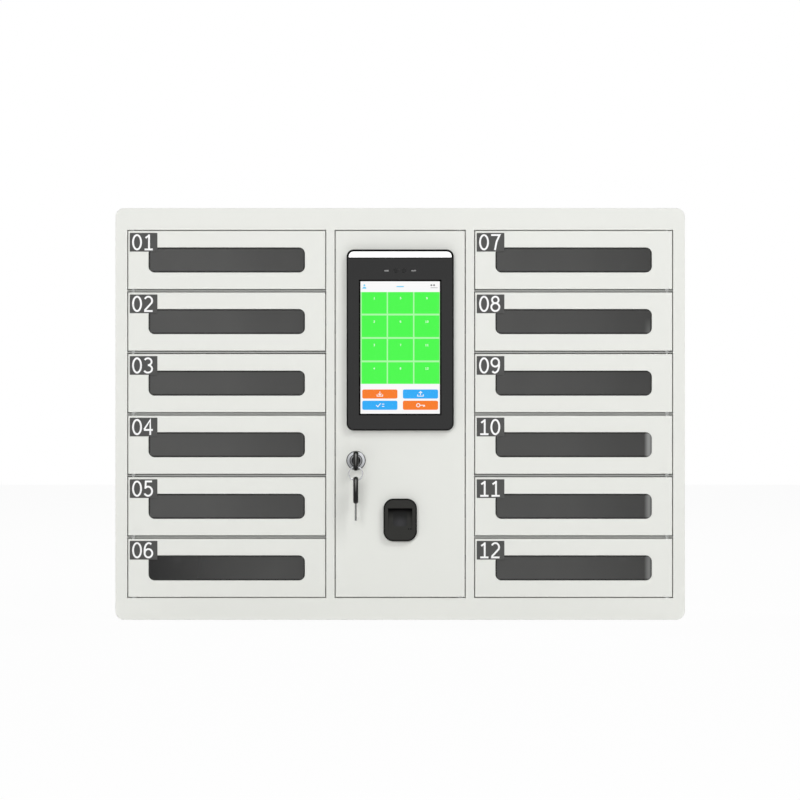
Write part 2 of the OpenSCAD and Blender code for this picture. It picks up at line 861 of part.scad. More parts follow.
// Lays a drawing of a key in the y-z plane, t thick about it
module key_flat(t) {
    rotate([0, -90, 0]) translate([0, 0, -t / 2]) linear_extrude(t) children();
}

// Key lying along +y, bow from -bow_l to 0, flat in the y-z plane
module key_shape() {
    color(black) intersection() {
        bow_block();
        key_flat(bow_t + 2) difference() {
            translate([0, -bow_l / 2]) round_rect(bow_w, bow_l, bow_r);
            translate([0, -bow_l + bow_rim + slot_w / 2]) slot_2d(slot_l, slot_w);
        }
    }
    color(steel) difference() {
        key_flat(blade_t) difference() {
            translate([-blade_w / 2, -bow_hold]) square([blade_w, blade_l + bow_hold]);
            bitting();
            // Point of the blade
            for (s = [-1, 1]) translate([s * blade_w / 2, blade_l])
                rotate(45) square(point_cut, center = true);
        }
        // One groove on each side, past each other
        for (s = [-1, 1]) translate([s * (blade_t - groove_d) / 2, 0, s * groove_w * 0.6])
            translate([-groove_d / 2, 1.5, -groove_w / 2])
                translate([s > 0 ? 0 : -1, 0, 0]) cube([groove_d + 1, blade_l, groove_w]);
    }
}

cut_depths = [1.2, 0.6, 1.5, 0.9, 1.3];
cut_pitch = 3;

// Cuts along one edge of the blade, each with sloping flanks
module bitting() {
    for (i = [0:len(cut_depths) - 1]) {
        y = 4 + i * cut_pitch;
        deep = cut_depths[i];
        translate([blade_w / 2, y]) polygon([
            [0.1, -deep - 0.5], [-deep, -0.5], [-deep, 0.5], [0.1, deep + 0.5]]);
    }
}

module key() {
    translate([cam_x, key_y, cam_z]) key_shape();
}

module key_ring() {
    color(chrome) translate([cam_x, ring_y, ring_z]) rotate([90, 0, 0])
        rotate_extrude() translate([ring_mid_r, 0]) circle(ring_wire / 2);
}

module spare_key() {
    translate([cam_x, ring_y, spare_top - bow_l]) rotate([-90, 0, 0]) key_shape();
}

// Board on pillars with relays, sockets and the main chips
module control_board() {
    front = board_y - board_t;
    color(board_green) {
        upright(front, board_t) translate([0, board_z + board_h / 2])
            round_rect(board_w, board_h, 3);
        for (x = [-1, 1], z = [pillar_in, board_h - pillar_in])
            upright(board_y, board_off) translate([x * (board_w / 2 - pillar_in), board_z + z])
                circle(pillar_d / 2);
        for (x = [-1, 1], i = [0:rows - 1])
            translate([x * relay_x - relay.x / 2, front - relay.y, board_z + row_z + i * relay_pitch])
                cube(relay);
        for (x = [-1, 1])
            translate([x * socket_x - socket.x / 2, front - socket.y, board_z + row_z + 2])
                cube(socket);
        translate([-chip.x / 2, front - chip.y, board_z + chip_z]) cube(chip);
        upright(front - cap_l, cap_l) for (i = [-1:1])
            translate([i * cap_pitch, board_z + row_z + 2]) circle(cap_d / 2);
    }
}

// Perforated supply on the floor of the bay
module power_supply() {
    run = supply_w - 30;
    color(zinc) difference() {
        union() {
            translate([-supply_w / 2, supply_y, sheet_t]) cube([supply_w, supply_d, supply_h]);
            translate([terminals_in - supply_w / 2, supply_y - terminals_d, sheet_t])
                cube([supply_w - 2 * terminals_in, terminals_d, terminals_h]);
        }
        for (i = [0:supply_slots - 1])
            translate([i * run / (supply_slots - 1) - run / 2, supply_y + supply_d / 2,
                    sheet_t + supply_h - 1.5])
                linear_extrude(3) rotate(90)
                    slot_2d(supply_d - 2 * supply_slot_in, supply_slot_w);
    }
}

// Mains inlet fixed behind the panel, flush with its outside
module power_inlet() {
    color(black) translate([0, 0, inlet_z]) difference() {
        union() {
            upright(inlet_back, sheet_t) square([inlet_w, inlet_h], center = true);
            upright(inlet_back - inlet_flange_t, inlet_flange_t) {
                square(inlet_flange, center = true);
                slot_2d(inlet_ears.x, inlet_ears.y);
            }
            upright(inlet_back - inlet_body_l, inlet_body_l - inlet_flange_t)
                square(inlet_body, center = true);
        }
        upright(back_y - inlet_socket_l, inlet_socket_l + 1)
            socket_outline(inlet_socket.x, inlet_socket.y, inlet_corner);
        upright(inlet_back - inlet_flange_t - 1, inlet_flange_t + 2) for (x = [-1, 1])
            translate([x * inlet_screw_x, 0]) circle(inlet_screw_d / 2);
    }
    color(steel) upright(back_y - inlet_socket_l, inlet_blade_l)
        for (p = blades) translate([p.x, inlet_z + p.y]) square(inlet_blade, center = true);
}

outer_shell();
front_frame();
back_panel();
bay_partitions();
cell_shelves();
hinge_pins();
lock_bodies();
control_board();
power_supply();
power_inlet();
service_door();
terminal_case();
terminal_glass();
display_panel();
light_bar();
camera_module();
fingerprint_reader();
fingerprint_window();
lock_barrel();
lock_plug();
lock_tongue();
key();
key_ring();
spare_key();
for (n = [1:2 * rows]) {
    cell_door(n);
    window(n);
    lock_bolt(n);
}
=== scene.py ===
"""Looks of a phone locker: windowed doors with number plates, a terminal, a reader and a keyed lock."""

import json
import math

import bmesh
import bpy
from bpy.props import FloatProperty, FloatVectorProperty, IntProperty, PointerProperty
from mathutils import Matrix, Vector

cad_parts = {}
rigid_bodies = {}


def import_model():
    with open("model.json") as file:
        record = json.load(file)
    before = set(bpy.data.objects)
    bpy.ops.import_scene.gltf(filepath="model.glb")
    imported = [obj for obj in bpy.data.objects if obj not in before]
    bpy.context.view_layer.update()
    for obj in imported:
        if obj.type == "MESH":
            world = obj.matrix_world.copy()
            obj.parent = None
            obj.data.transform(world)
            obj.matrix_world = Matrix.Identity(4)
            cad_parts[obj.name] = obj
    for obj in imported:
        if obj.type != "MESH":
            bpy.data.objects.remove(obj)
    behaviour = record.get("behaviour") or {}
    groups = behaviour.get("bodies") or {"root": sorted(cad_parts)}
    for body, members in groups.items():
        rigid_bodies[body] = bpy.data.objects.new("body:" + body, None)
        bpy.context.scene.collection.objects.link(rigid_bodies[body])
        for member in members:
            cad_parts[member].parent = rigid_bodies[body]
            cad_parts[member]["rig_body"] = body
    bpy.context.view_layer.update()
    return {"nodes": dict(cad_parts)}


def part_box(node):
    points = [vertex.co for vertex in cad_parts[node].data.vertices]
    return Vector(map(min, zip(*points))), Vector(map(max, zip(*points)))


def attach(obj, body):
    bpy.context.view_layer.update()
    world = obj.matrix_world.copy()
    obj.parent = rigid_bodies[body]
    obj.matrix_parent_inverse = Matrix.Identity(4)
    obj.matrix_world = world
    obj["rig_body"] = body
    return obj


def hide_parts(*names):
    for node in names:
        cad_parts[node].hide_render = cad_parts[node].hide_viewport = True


bl_info = {
    "name": "Phone locker",
    "version": (1, 0, 0),
    "blender": (4, 5, 0),
    "location": "View3D > Sidebar > Locker",
    "description": "Finishes the pieces of a phone locker and sets up its stage",
    "category": "Object",
}

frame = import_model()

MM = 0.001
# Edges at which a surface turns by more than this are sharp
SHARP = math.radians(35)
CELLS = [f"{n:02d}" for n in range(1, 13)]
FACE_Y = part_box("front_frame")[0].y
GLASS_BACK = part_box("terminal_glass")[1].y
DISPLAY_LOW, DISPLAY_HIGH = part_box("display_panel")
# The picture leaves this much of the display panel free all round
DISPLAY_RIM = 4 * MM
PICTURE = (
    DISPLAY_LOW.x + DISPLAY_RIM,
    DISPLAY_LOW.z + DISPLAY_RIM,
    DISPLAY_HIGH.x - DISPLAY_RIM,
    DISPLAY_HIGH.z - DISPLAY_RIM,
)
BAR_LOW, BAR_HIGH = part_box("light_bar")
LENS_Z = sum(p.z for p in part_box("camera_module")) / 2
KEY_LOW, KEY_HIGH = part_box("key")
SPARE_LOW, SPARE_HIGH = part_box("spare_key")
RING_LOW, RING_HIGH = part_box("key_ring")
LOCK_X = (KEY_LOW.x + KEY_HIGH.x) / 2
LOCK_Z = (KEY_LOW.z + KEY_HIGH.z) / 2


def srgb(red, green, blue):
    """A colour written as it shows on a screen, 0 to 255, as the linear one that shaders take."""
    values = [c / 255 for c in (red, green, blue)]
    return tuple(c / 12.92 if c <= 0.04045 else ((c + 0.055) / 1.055) ** 2.4 for c in values)


def scaled(shade, share):
    """A colour made darker or lighter."""
    return tuple(c * share for c in shade)


def colour(name, default, description):
    """A setting that holds a colour."""
    return FloatVectorProperty(
        name=name, description=description, default=default, size=3, min=0, max=1, subtype="COLOR"
    )


def length(name, default, description):
    """A setting that holds a length."""
    return FloatProperty(
        name=name, description=description, default=default, min=0, unit="LENGTH", precision=5
    )


class LockerCabinetLook(bpy.types.PropertyGroup):
    """Finish of the painted sheet metal."""

    paint: colour("Paint", srgb(233, 234, 229), "Colour of the powder coat")
    # Painted shade: this colour on the folds between the doors stands in for the shade in the gaps
    gap_shade: colour("Hem", srgb(166, 167, 164), "Colour of the folds between the doors")
    edge: length("Edge radius", 0.45 * MM, "Radius of the folded and cut edges")
    grain: length("Grain", 1.4 * MM, "Distance between the bumps of the powder coat")


class LockerPlateLook(bpy.types.PropertyGroup):
    """Sizes and colours of the number plates."""

    width: length("Width", 31.5 * MM, "Width of a number plate")
    height: length("Height", 21.3 * MM, "Height of a number plate")
    inset: length("Inset", 2 * MM, "Distance of a plate from the door's left edge")
    drop: length("Drop", 2.5 * MM, "Distance of a plate from the door's top edge")
    thickness: length("Thickness", 0.6 * MM, "Thickness of a plate")
    digit_height: length("Digit height", 18.5 * MM, "Height of the digits")
    digit_width: length("Digit width", 11.8 * MM, "Width of the digits")
    stroke: length("Stroke", 2.1 * MM, "Width of the digits' strokes")
    spacing: length("Spacing", 12.9 * MM, "Distance from one digit to the next")
    plate: colour("Plate", srgb(70, 70, 69), "Colour of the plates")
    digits: colour("Digits", srgb(250, 250, 250), "Colour of the digits")


class LockerScreenLook(bpy.types.PropertyGroup):
    """Layout and colours of the picture on the terminal."""

    columns: IntProperty(name="Columns", description="Columns of cell tiles", default=3, min=1, max=4)
    rows: IntProperty(name="Rows", description="Rows of cell tiles", default=4, min=1, max=6)
    header: length("Header", 12.2 * MM, "Height of the strip above the tiles")
    left: length("Left margin", 1.4 * MM, "Strip of the field left of the tiles")
    gap_across: length("Gap across", 1.6 * MM, "Gap between two tiles side by side")
    gap_down: length("Gap down", 2.07 * MM, "Gap between two tiles one above the other")
    tile_height: length("Tile height", 24.6 * MM, "Height of a tile")
    tile: colour("Tile", srgb(83, 254, 85), "Colour of a free cell's tile")
    field: colour("Field", srgb(176, 255, 172), "Colour between the tiles")
    warm: colour("Warm button", srgb(253, 130, 53), "Colour of the first and last buttons")
    cool: colour("Cool button", srgb(59, 177, 253), "Colour of the other two buttons")


class LockerLockLook(bpy.types.PropertyGroup):
    """Finish of the lock and its keys."""

    chrome: colour("Chrome", srgb(214, 216, 219), "Colour of the plated lock")
    bow: colour("Bow", srgb(14, 14, 14), "Colour of the keys' plastic bows")
    bow_edge: length("Bow edge", 1.6 * MM, "Radius of a bow's long edges")
    slot_edge: length("Slot edge", 0.7 * MM, "Radius of the edges of a bow's slot")


class LockerStageLook(bpy.types.PropertyGroup):
    """Camera and light."""

    distance: length("Camera distance", 5.073, "Distance of the camera from the front")
    height: length("Camera height", 0.2509, "Height of the camera above the floor")
    lens: FloatProperty(name="Lens", description="Focal length in millimetres", default=200, min=20)
    sky: FloatProperty(name="Sky", description="Strength of the even light", default=0.13, min=0)
    key: FloatProperty(name="Key", description="Power of the main lamp in watts", default=76, min=0)
    front: FloatProperty(name="Front", description="Power of the front lamp in watts", default=153, min=0)
    side: FloatProperty(name="Side", description="Power of each side lamp in watts", default=90, min=0)


class Link:
    """A node's output that can be written in sums and products, each of which adds a Math node."""

    def __init__(self, graph, socket):
        self.graph = graph
        self.socket = socket

    def maths(self, operation, *others):
        """A Math node on this link and other links or numbers."""
        return self.graph.node("ShaderNodeMath", {"operation": operation}, dict(enumerate((self, *others))))

    def turned(self, operation, other):
        """The same with the other one first."""
        return self.graph.node("ShaderNodeMath", {"operation": operation}, {0: other, 1: self})

    def __add__(self, other):
        return self.maths("ADD", other)

    def __radd__(self, other):
        return self.turned("ADD", other)

    def __sub__(self, other):
        return self.maths("SUBTRACT", other)

    def __rsub__(self, other):
        return self.turned("SUBTRACT", other)

    def __mul__(self, other):
        return self.maths("MULTIPLY", other)

    def __rmul__(self, other):
        return self.turned("MULTIPLY", other)

    def __truediv__(self, other):
        return self.maths("DIVIDE", other)

    def __lt__(self, other):
        return self.maths("LESS_THAN", other)

    def __gt__(self, other):
        return self.maths("GREATER_THAN", other)

    def size(self):
        return self.maths("ABSOLUTE")

    def past(self, limit):
        """How far it lies above a limit, or 0 below it."""
        return (self - limit).maths("MAXIMUM", 0)

    def clamped(self):
        """The number itself from 0 to 1, and the nearer of the two beyond them."""
        return self.maths("MINIMUM", 1).maths("MAXIMUM", 0)

    def ramp(self, start, end):
        """0 up to start, 1 from end on, and a straight slope between; end may be the lower one."""
        return ((self - start) / (end - start)).clamped()


class Graph:
    """Builds a node tree: one method makes every node, and links or sets its inputs."""

    def __init__(self, tree):
        self.tree = tree

    def node(self, kind, settings=None, values=None, output=0):
        """A node with its settings made first, then the values or links of its sockets."""
        made = self.tree.nodes.new(kind)
        for name, value in (settings or {}).items():
            if name == "stops":
                for at, (place, shade) in enumerate(value):
                    stops = made.color_ramp.elements
                    stop = stops[at] if at < 2 else stops.new(place)
                    stop.position = place
                    stop.color = (*shade, 1)
            else:
                setattr(made, name, value)
        for socket, value in (values or {}).items():
            links = value if isinstance(value, list) else [value]
            if isinstance(links[0], Link):
                for link in links:
                    self.tree.links.new(link.socket, made.inputs[socket])
            elif value is not None:
                made.inputs[socket].default_value = value
        return Link(self, made.outputs[output]) if made.outputs else made

    def from_same(self, link, output):
        """Another output of the node that a link comes from."""
        return Link(self, link.socket.node.outputs[output])

    def seen(self):
        """1 for what the camera sees, straight or by way of metal or glass."""
        rays = self.node("ShaderNodeLightPath", output="Is Camera Ray")
        seen = rays.maths("MAXIMUM", self.from_same(rays, "Is Glossy Ray"))
        return seen.maths("MAXIMUM", self.from_same(rays, "Is Transmission Ray"))


class Finish(Graph):
    """A material under construction."""

    def __init__(self, name):
        self.material = bpy.data.materials.new(name)
        self.material.use_nodes = True
        super().__init__(self.material.node_tree)
        self.tree.nodes.clear()
        self.place = self.node("ShaderNodeTexCoord", output="Object")
        self.x = self.node("ShaderNodeSeparateXYZ", values={0: self.place}, output="X")
        self.y = self.from_same(self.x, "Y")
        self.z = self.from_same(self.x, "Z")

    def noise(self, grain, detail=2.0, roughness=0.5, stretch=None):
        """Noise from 0 to 1 whose bumps are one grain apart, drawn out along the axes by stretch."""
        place = self.place
        if stretch:
            place = self.node("ShaderNodeMapping", values={"Vector": place, "Scale": stretch})
        return self.node(
            "ShaderNodeTexNoise",
            values={"Vector": place, "Scale": 1 / grain, "Detail": detail, "Roughness": roughness},
            output="Fac",
        )

    def mix(self, share, low, high):
        """Colours low and high blended by share."""
        four = [c if isinstance(c, Link) else (*c, 1) for c in (low, high)]
        return self.node(
            "ShaderNodeMix",
            {"data_type": "RGBA"},
            {"Factor": share, 6: four[0], 7: four[1]},
            output=2,
        )

    def spread(self, link, low, high):
        """A number from 0 to 1 turned into one from low to high."""
        return link * (high - low) + low

    def inside(self, link, low, high):
        """1 where the link is between low and high, and 0 elsewhere."""
        return (link > low) * (link < high)

    def far(self, across, up):
        """Distance of a place that lies this far across and this far up."""
        return (across * across + up * up).maths("SQRT")

    def bump(self, height, strength, distance):
        """A normal that lets a number show as relief."""
        return self.node(
            "ShaderNodeBump",
            values={"Height": height, "Strength": strength, "Distance": distance},
            output="Normal",
        )

    def close(self, **inputs):
        """Ends the material in a Principled shader with these inputs, and returns the material."""
        values = {}
        for name, value in inputs.items():
            socket = name.replace("_", " ").title().replace("Ior", "IOR")
            plain = isinstance(value, tuple) and len(value) == 3
            values[socket] = (*value, 1) if plain else value
        shader = self.node("ShaderNodeBsdfPrincipled", values=values)
        self.node("ShaderNodeOutputMaterial", values={"Surface": shader})
        return self.material


def paint_finish(name, shade, grain, gap_shade=None):
    """Satin powder coat: a faint orange peel and hardly any change of tone, with painted shade on the folds
    in the gaps between the doors when a gap colour is given.
    """
    f = Finish(name)
    cloud = f.noise(180 * MM, detail=1.0)
    peel = f.noise(grain, detail=1.5)
    tone = f.mix(cloud, scaled(shade, 0.985), scaled(shade, 1.01))
    if gap_shade:
        # Painted shade: the folds in the gaps between the doors are greyed for the shade that falls in the
        # gaps
        gap_shade_depth = 11.5 * MM
        tone = f.mix(f.y < FACE_Y + gap_shade_depth, tone, gap_shade)
    return f.close(
        base_color=tone,
        roughness=f.spread(peel, 0.42, 0.5),
        specular_ior_level=0.35,
        normal=f.bump(peel, 0.12, 0.02 * MM),
    )


def plastic_finish(name, shade, grain, rough=0.5, relief=0.25, gloss=0.45):
    """Moulded plastic with a spark-eroded grain."""
    f = Finish(name)
    fine = f.noise(grain, detail=3.0)
    cloud = f.noise(25 * MM)
    return f.close(
        base_color=f.mix(cloud, scaled(shade, 0.9), scaled(shade, 1.1)),
        roughness=f.spread(fine, rough - 0.06, rough + 0.06),
        specular_ior_level=gloss,
        normal=f.bump(fine, relief, 0.02 * MM),
    )


def metal_finish(name, shade, rough, stretch=None, grain=0.5 * MM, relief=0.08):
    """Bare or plated metal, brushed along the axis that stretch shrinks."""
    f = Finish(name)
    lines = f.noise(grain, detail=3.0, roughness=0.6, stretch=stretch)
    cloud = f.noise(9 * MM)
    return f.close(
        base_color=f.mix(cloud, scaled(shade, 0.93), shade),
        metallic=1.0,
        roughness=f.spread(lines, rough * 0.8, rough * 1.25),
        normal=f.bump(lines, relief, 0.01 * MM),
    )


def pane_finish():
    """Smoked acrylic: paler towards its left end, with painted shade where it meets the door's sheet, a
    painted reflection at the left end of one pane and painted light at the right end of four.
    """
    f = Finish("smoked_pane")
    low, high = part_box("window_06")
    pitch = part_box("window_05")[0].z - low.z
    mid_x = abs(low.x + high.x) / 2
    half_x, half_z = (high.x - low.x) / 2, (high.z - low.z) / 2
    # Place within the window, from -1 at its left or lower end to 1 at the other
    along = (f.x - f.x.maths("SIGN") * mid_x) / half_x
    up = ((f.z - low.z).maths("MODULO", pitch) - half_z) / half_z
    # The pane laps over the door's sheet this far, and has painted shade where the sheet ends
    lap = 5 * MM
    edge_x = (along.size() - 1) * half_x + lap
    edge_z = (up.size() - 1) * half_z + lap
    rim = edge_x.maths("MAXIMUM", edge_z).ramp(-2.3 * MM, -1.3 * MM)
    haze = f.noise(60 * MM, detail=1.0, stretch=(1, 1, 0.3))
    scuffs = f.noise(0.7 * MM, detail=4.0)
    # The right-hand column is a little darker
    fall = along * 0.08 + along.maths("MAXIMUM", 0) * 0.5 + (f.x > 0) * 0.3
    paleness = (0.97 - fall + (haze - 0.5) * 0.5 - up * 0.08).clamped()
    tone = f.mix(paleness, srgb(58, 58, 57), srgb(80, 80, 79))
    # Painted reflection: the lowest pane at the left is dark at its left end, where a dark corner of the
    # room shows in it
    corner = (f.x < 0) * (f.z < low.z + pitch / 2) * along.ramp(0.6, -1.067)
    tone = f.mix(corner, tone, srgb(20, 20, 20))
    # Painted light: four panes at the right are pale at their right end, where light falls in. For each,
    # its row from the lowest up, how pale it is, and the height in the window at which the patch has faded
    pale = 0
    for row, share, top in ((0, 0.6, 2), (1, 0.7, 2), (2, 1, 2), (4, 0.35, 0.2)):
        start = low.z + row * pitch
        pale = f.inside(f.z, start, start + pitch / 2) * up.ramp(top, top - 1) * share + pale
    pale = (pale * (f.x > 0) * along.ramp(0.855, 0.905) * (0.75 + haze * 0.5)).clamped()
    tone = f.mix(pale, tone, srgb(146, 147, 146))
    return f.close(
        base_color=f.mix(rim * (1 - pale * 0.6), tone, srgb(40, 40, 39)),
        roughness=f.spread(scuffs, 0.1, 0.16),
        alpha=f.spread(haze, 0.94, 0.9),
        specular_ior_level=0.3,
        normal=f.bump(scuffs, 0.03, 0.01 * MM),
    )


def lit_finish(name, shade):
    """A lit part of the picture, a touch dimmer towards its corners, on a fine grid of pixels."""
    f = Finish(name)
    low_x, low_z, high_x, high_z = PICTURE
    across = (f.x - (low_x + high_x) / 2) / (high_x - low_x)
    up = (f.z - (low_z + high_z) / 2) / (high_z - low_z)
    dim = (across * across + up * up) * 0.03
    pixels = f.noise(0.16 * MM, detail=0.0) * 0.01
    return f.close(
        base_color=(0.0, 0.0, 0.0),
        roughness=0.4,
        specular_ior_level=0.0,
        emission_color=f.mix(dim + pixels, shade, scaled(shade, 0.5)),
        emission_strength=1.0,
    )


def front_glass_finish():
    """Glass printed black on its back, clear over the picture, the lenses and the lamps."""
    f = Finish("printed_glass")
    low_x, low_z, high_x, high_z = PICTURE
    rim = 1.8 * MM
    lens_x, lens_radius = 4.9 * MM, 2.7 * MM
    lamp_start, lamp_end, lamp_half = 12.7 * MM, 18.3 * MM, 0.95 * MM
    smear = f.noise(40 * MM, detail=2.0)
    picture = f.inside(f.x, low_x - rim, high_x + rim) * f.inside(f.z, low_z - rim, high_z + rim)
    up = f.z - LENS_Z
    lens = f.far(f.x.size() - lens_x, up) < lens_radius
    lamp = f.inside(f.x.size(), lamp_start, lamp_end) * (up.size() < lamp_half)
    clear = picture * 0.98 + lens * 0.2 + lamp * 0.8
    return f.close(
        base_color=f.mix(smear, srgb(3, 3, 3), srgb(7, 7, 7)),
        roughness=f.spread(smear, 0.04, 0.1),
        alpha=1 - clear,
    )


def camera_finish():
    """Grey lenses in the middle and pale lamps further out, behind the printed glass."""
    f = Finish("camera_parts")
    lamps_from = 12 * MM
    ripple = f.noise(1.2 * MM)
    return f.close(
        base_color=f.mix(f.x.size() > lamps_from, srgb(120, 120, 124), srgb(205, 205, 205)),
        roughness=f.spread(ripple, 0.2, 0.3),
    )


def light_finish():
    """Milky light bar: bright all over, a little less so at its ends."""
    f = Finish("light_bar_lit")
    mid_x, half = (BAR_LOW.x + BAR_HIGH.x) / 2, (BAR_HIGH.x - BAR_LOW.x) / 2
    out = (f.x - mid_x) / half
    away = out * out
    # A black border is printed round its top and ends
    corner, border_width = 6.6 * MM, 1.1 * MM
    past_x = (f.x - mid_x).size().past(half - corner)
    past_z = f.z.past(BAR_HIGH.z - corner)
    border = f.far(past_x, past_z) > corner - border_width
    glow = f.mix(away * away * 0.2, (1.0, 1.0, 0.99), (0.7, 0.7, 0.7))
    return f.close(
        base_color=f.mix(border, (0.9, 0.9, 0.9), srgb(8, 8, 8)),
        roughness=0.3,
        specular_ior_level=0.1,
        emission_color=f.mix(border, glow, (0.0, 0.0, 0.0)),
        emission_strength=0.75,
    )


def new_object(name, data):
    """A mesh, lamp or camera as an object in the scene."""
    made = bpy.data.objects.new(name, data)
    bpy.context.scene.collection.objects.link(made)
    return made


def object_of(name, solid, material):
    """A finished bmesh as an object with this material."""
    mesh = bpy.data.meshes.new(name)
    solid.to_mesh(mesh)
    solid.free()
    mesh.materials.append(material)
    return new_object(name, mesh)


def as_plain(piece):
    """Turns a piece's modifiers into its mesh."""
    bpy.context.view_layer.update()
    depsgraph = bpy.context.evaluated_depsgraph_get()
    mesh = bpy.data.meshes.new_from_object(piece.evaluated_get(depsgraph), depsgraph=depsgraph)
    mesh.name = piece.name
    piece.modifiers.clear()
    piece.data = mesh
    return piece


def place(piece, body, slot, node=None):
    """Lets a finished piece ride on its body, in place of a CAD node if there is one. The slot is not used.
    """
    if not piece.data.vertices:
        raise RuntimeError(f"{piece.name} has no mesh")
    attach(piece, body)
    if node:
        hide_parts(node)


def body_of(node):
    """The body that a CAD node rides on."""
    return frame["nodes"][node]["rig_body"]


def coat(node, material):
    """Gives a CAD node this material."""
    slots = frame["nodes"][node].data.materials
    slots.clear()
    slots.append(material)


def merged_copy(node):
    """A CAD node's mesh with its doubles merged and its flat faces joined up."""
    solid = bmesh.new()
    solid.from_mesh(frame["nodes"][node].data)
    bmesh.ops.remove_doubles(solid, verts=solid.verts, dist=1e-6)
    bmesh.ops.dissolve_limit(
        solid, angle_limit=math.radians(0.5), verts=solid.verts, edges=solid.edges
    )
    return solid


def flat_areas(mesh):
    """For every face, the area of the flat region that it is part of."""
    region = list(range(len(mesh.polygons)))

    def root(face):
        while region[face] != face:
            region[face] = region[region[face]]
            face = region[face]
        return face

    beside = {}
    for face in mesh.polygons:
        for edge in face.edge_keys:
            other = beside.setdefault(edge, face)
            if other is not face and other.normal.dot(face.normal) > 0.99999:
                region[root(face.index)] = root(other.index)
    areas = [0.0] * len(region)
    for face in mesh.polygons:
        areas[root(face.index)] += face.area
    return [areas[root(face)] for face in range(len(region))]


def keep_flat(mesh):
    """Shading normals that keep flat faces flat, so that only the narrow round faces turn."""
    least = math.cos(SHARP)
    faces = [(Vector(face.normal), area) for face, area in zip(mesh.polygons, flat_areas(mesh))]
    meets = [[] for _ in mesh.vertices]
    for face in mesh.polygons:
        for vertex in face.vertices:
            meets[vertex].append(face.index)
    normals = []
    for face in mesh.polygons:
        own = faces[face.index][0]
        for vertex in face.vertices:
            total = Vector((0, 0, 0))
            for other in meets[vertex]:
                normal, area = faces[other]
                if normal.dot(own) > least:
                    total += normal * area
            normals.append(total.normalized() if total.length > 1e-14 else own)
    mesh.normals_split_custom_set(normals)


def soften(piece, width, segments=2, where=None, split=False):
    """Rounds a piece's sharp edges, or those of them whose middle passes the test.

    A piece whose faces have very many corners is split into triangles first.
    """
    solid = bmesh.new()
    solid.from_mesh(piece.data)
    if split:
        bmesh.ops.triangulate(solid, faces=solid.faces)
    layer = solid.edges.layers.float.new("bevel_weight_edge")
    for edge in solid.edges:
        sharp = len(edge.link_faces) == 2 and edge.calc_face_angle(0) > SHARP
        middle = (edge.verts[0].co + edge.verts[1].co) / 2
        chosen = sharp and (where is None or where(middle))
        edge[layer] = 1.0 if chosen else 0.0
        edge.smooth = chosen or not sharp
    for face in solid.faces:
        face.smooth = True
    solid.to_mesh(piece.data)
    solid.free()
    bevel = piece.modifiers.new("Edges", "BEVEL")
    bevel.limit_method = "WEIGHT"
    bevel.width = width
    bevel.segments = segments
    bevel.use_clamp_overlap = True
    as_plain(piece)
    keep_flat(piece.data)
    return piece


def softened(node, material, width, segments=2, where=None, split=False):
    """A copy of a CAD node with rounded edges, not yet riding on a body."""
    piece = object_of("fine_" + node, merged_copy(node), material)
    return soften(piece, width, segments, where, split)


def finish_node(node, material, width, slot, segments=2, where=None):
    """Puts the rounded copy of a CAD node in that node's place."""
    place(softened(node, material, width, segments, where), body_of(node), slot, node)


def arc(x, y, rx, ry, start, end, steps=14):
    """Points of an elliptic arc, with its angles in degrees."""
    turn = [math.radians(start + (end - start) * i / steps) for i in range(steps + 1)]
    return [(x + rx * math.cos(t), y + ry * math.sin(t)) for t in turn]


def oval(x, y, rx, ry, steps=28):
    """Points of a whole ellipse, the last on the first."""
    return arc(x, y, rx, ry, 0, 360, steps)


# Strokes of each digit, in a box from -1 to 1 both ways
DIGITS = {
    "0": [oval(0, 0, 0.94, 1)],
    "1": [[(0.16, 1.08), (0.16, -1)], [(-0.66, 0.6), (0.16, 0.94)], [(-0.9, -1), (1.05, -1)]],
    "2": [arc(0, 0.42, 0.88, 0.58, 155, -28) + [(-0.84, -0.9)], [(-1, -1), (1, -1)]],
    "3": [arc(-0.1, 0.52, 0.86, 0.48, 150, -90), arc(-0.1, -0.48, 0.98, 0.52, 90, -152)],
    "4": [[(0.45, -1.1), (0.45, 1), (-0.98, -0.34)], [(-1.05, -0.4), (1.05, -0.4)]],
    "5": [
        [(-0.72, 1), (0.86, 1)],
        [(-0.6, 1.08), (-0.7, -0.02)],
        arc(-0.08, -0.36, 0.96, 0.64, 140, -150),
    ],
    "6": [
        arc(0.12, 0.0, 1.0, 1.0, 55, 180) + arc(0.02, -0.2, 0.9, 0.8, 180, 200, 2),
        oval(0.02, -0.42, 0.9, 0.58),
    ],
    "7": [[(-1, 1), (1, 1), (0.3, 0.1), (-0.1, -1.1)]],
    "8": [oval(0, 0.54, 0.76, 0.46), oval(0, -0.45, 0.95, 0.55)],
}
DIGITS["9"] = [[(-x, -y) for x, y in stroke] for stroke in DIGITS["6"]]


def ribbon(solid, points, width, y):
    """Adds a flat stroke of this width along points in the x-z plane."""
    closed = (Vector(points[0]) - Vector(points[-1])).length < 1e-7
    line = [Vector(p) for p in (points[:-1] if closed else points)]
    count = len(line)
    sides = []
    for i, point in enumerate(line):
        before = line[i - 1] if i or closed else None
        after = line[(i + 1) % count] if i < count - 1 or closed else None
        runs = [(b - a).normalized() for a, b in ((before, point), (point, after)) if a and b]
        mitre = sum(runs, Vector((0, 0))).normalized()
        across = Vector((-mitre.y, mitre.x))
        # A bend's corner reaches further out, by no more than twice
        lean = max(0.5, abs(across.dot(Vector((-runs[0].y, runs[0].x)))))
        reach = across * (width / 2 / lean)
        sides.append([solid.verts.new((p.x, y, p.y)) for p in (point + reach, point - reach)])
    for i in range(count if closed else count - 1):
        (a, b), (c, d) = sides[i], sides[(i + 1) % count]
        solid.faces.new((a, b, d, c))


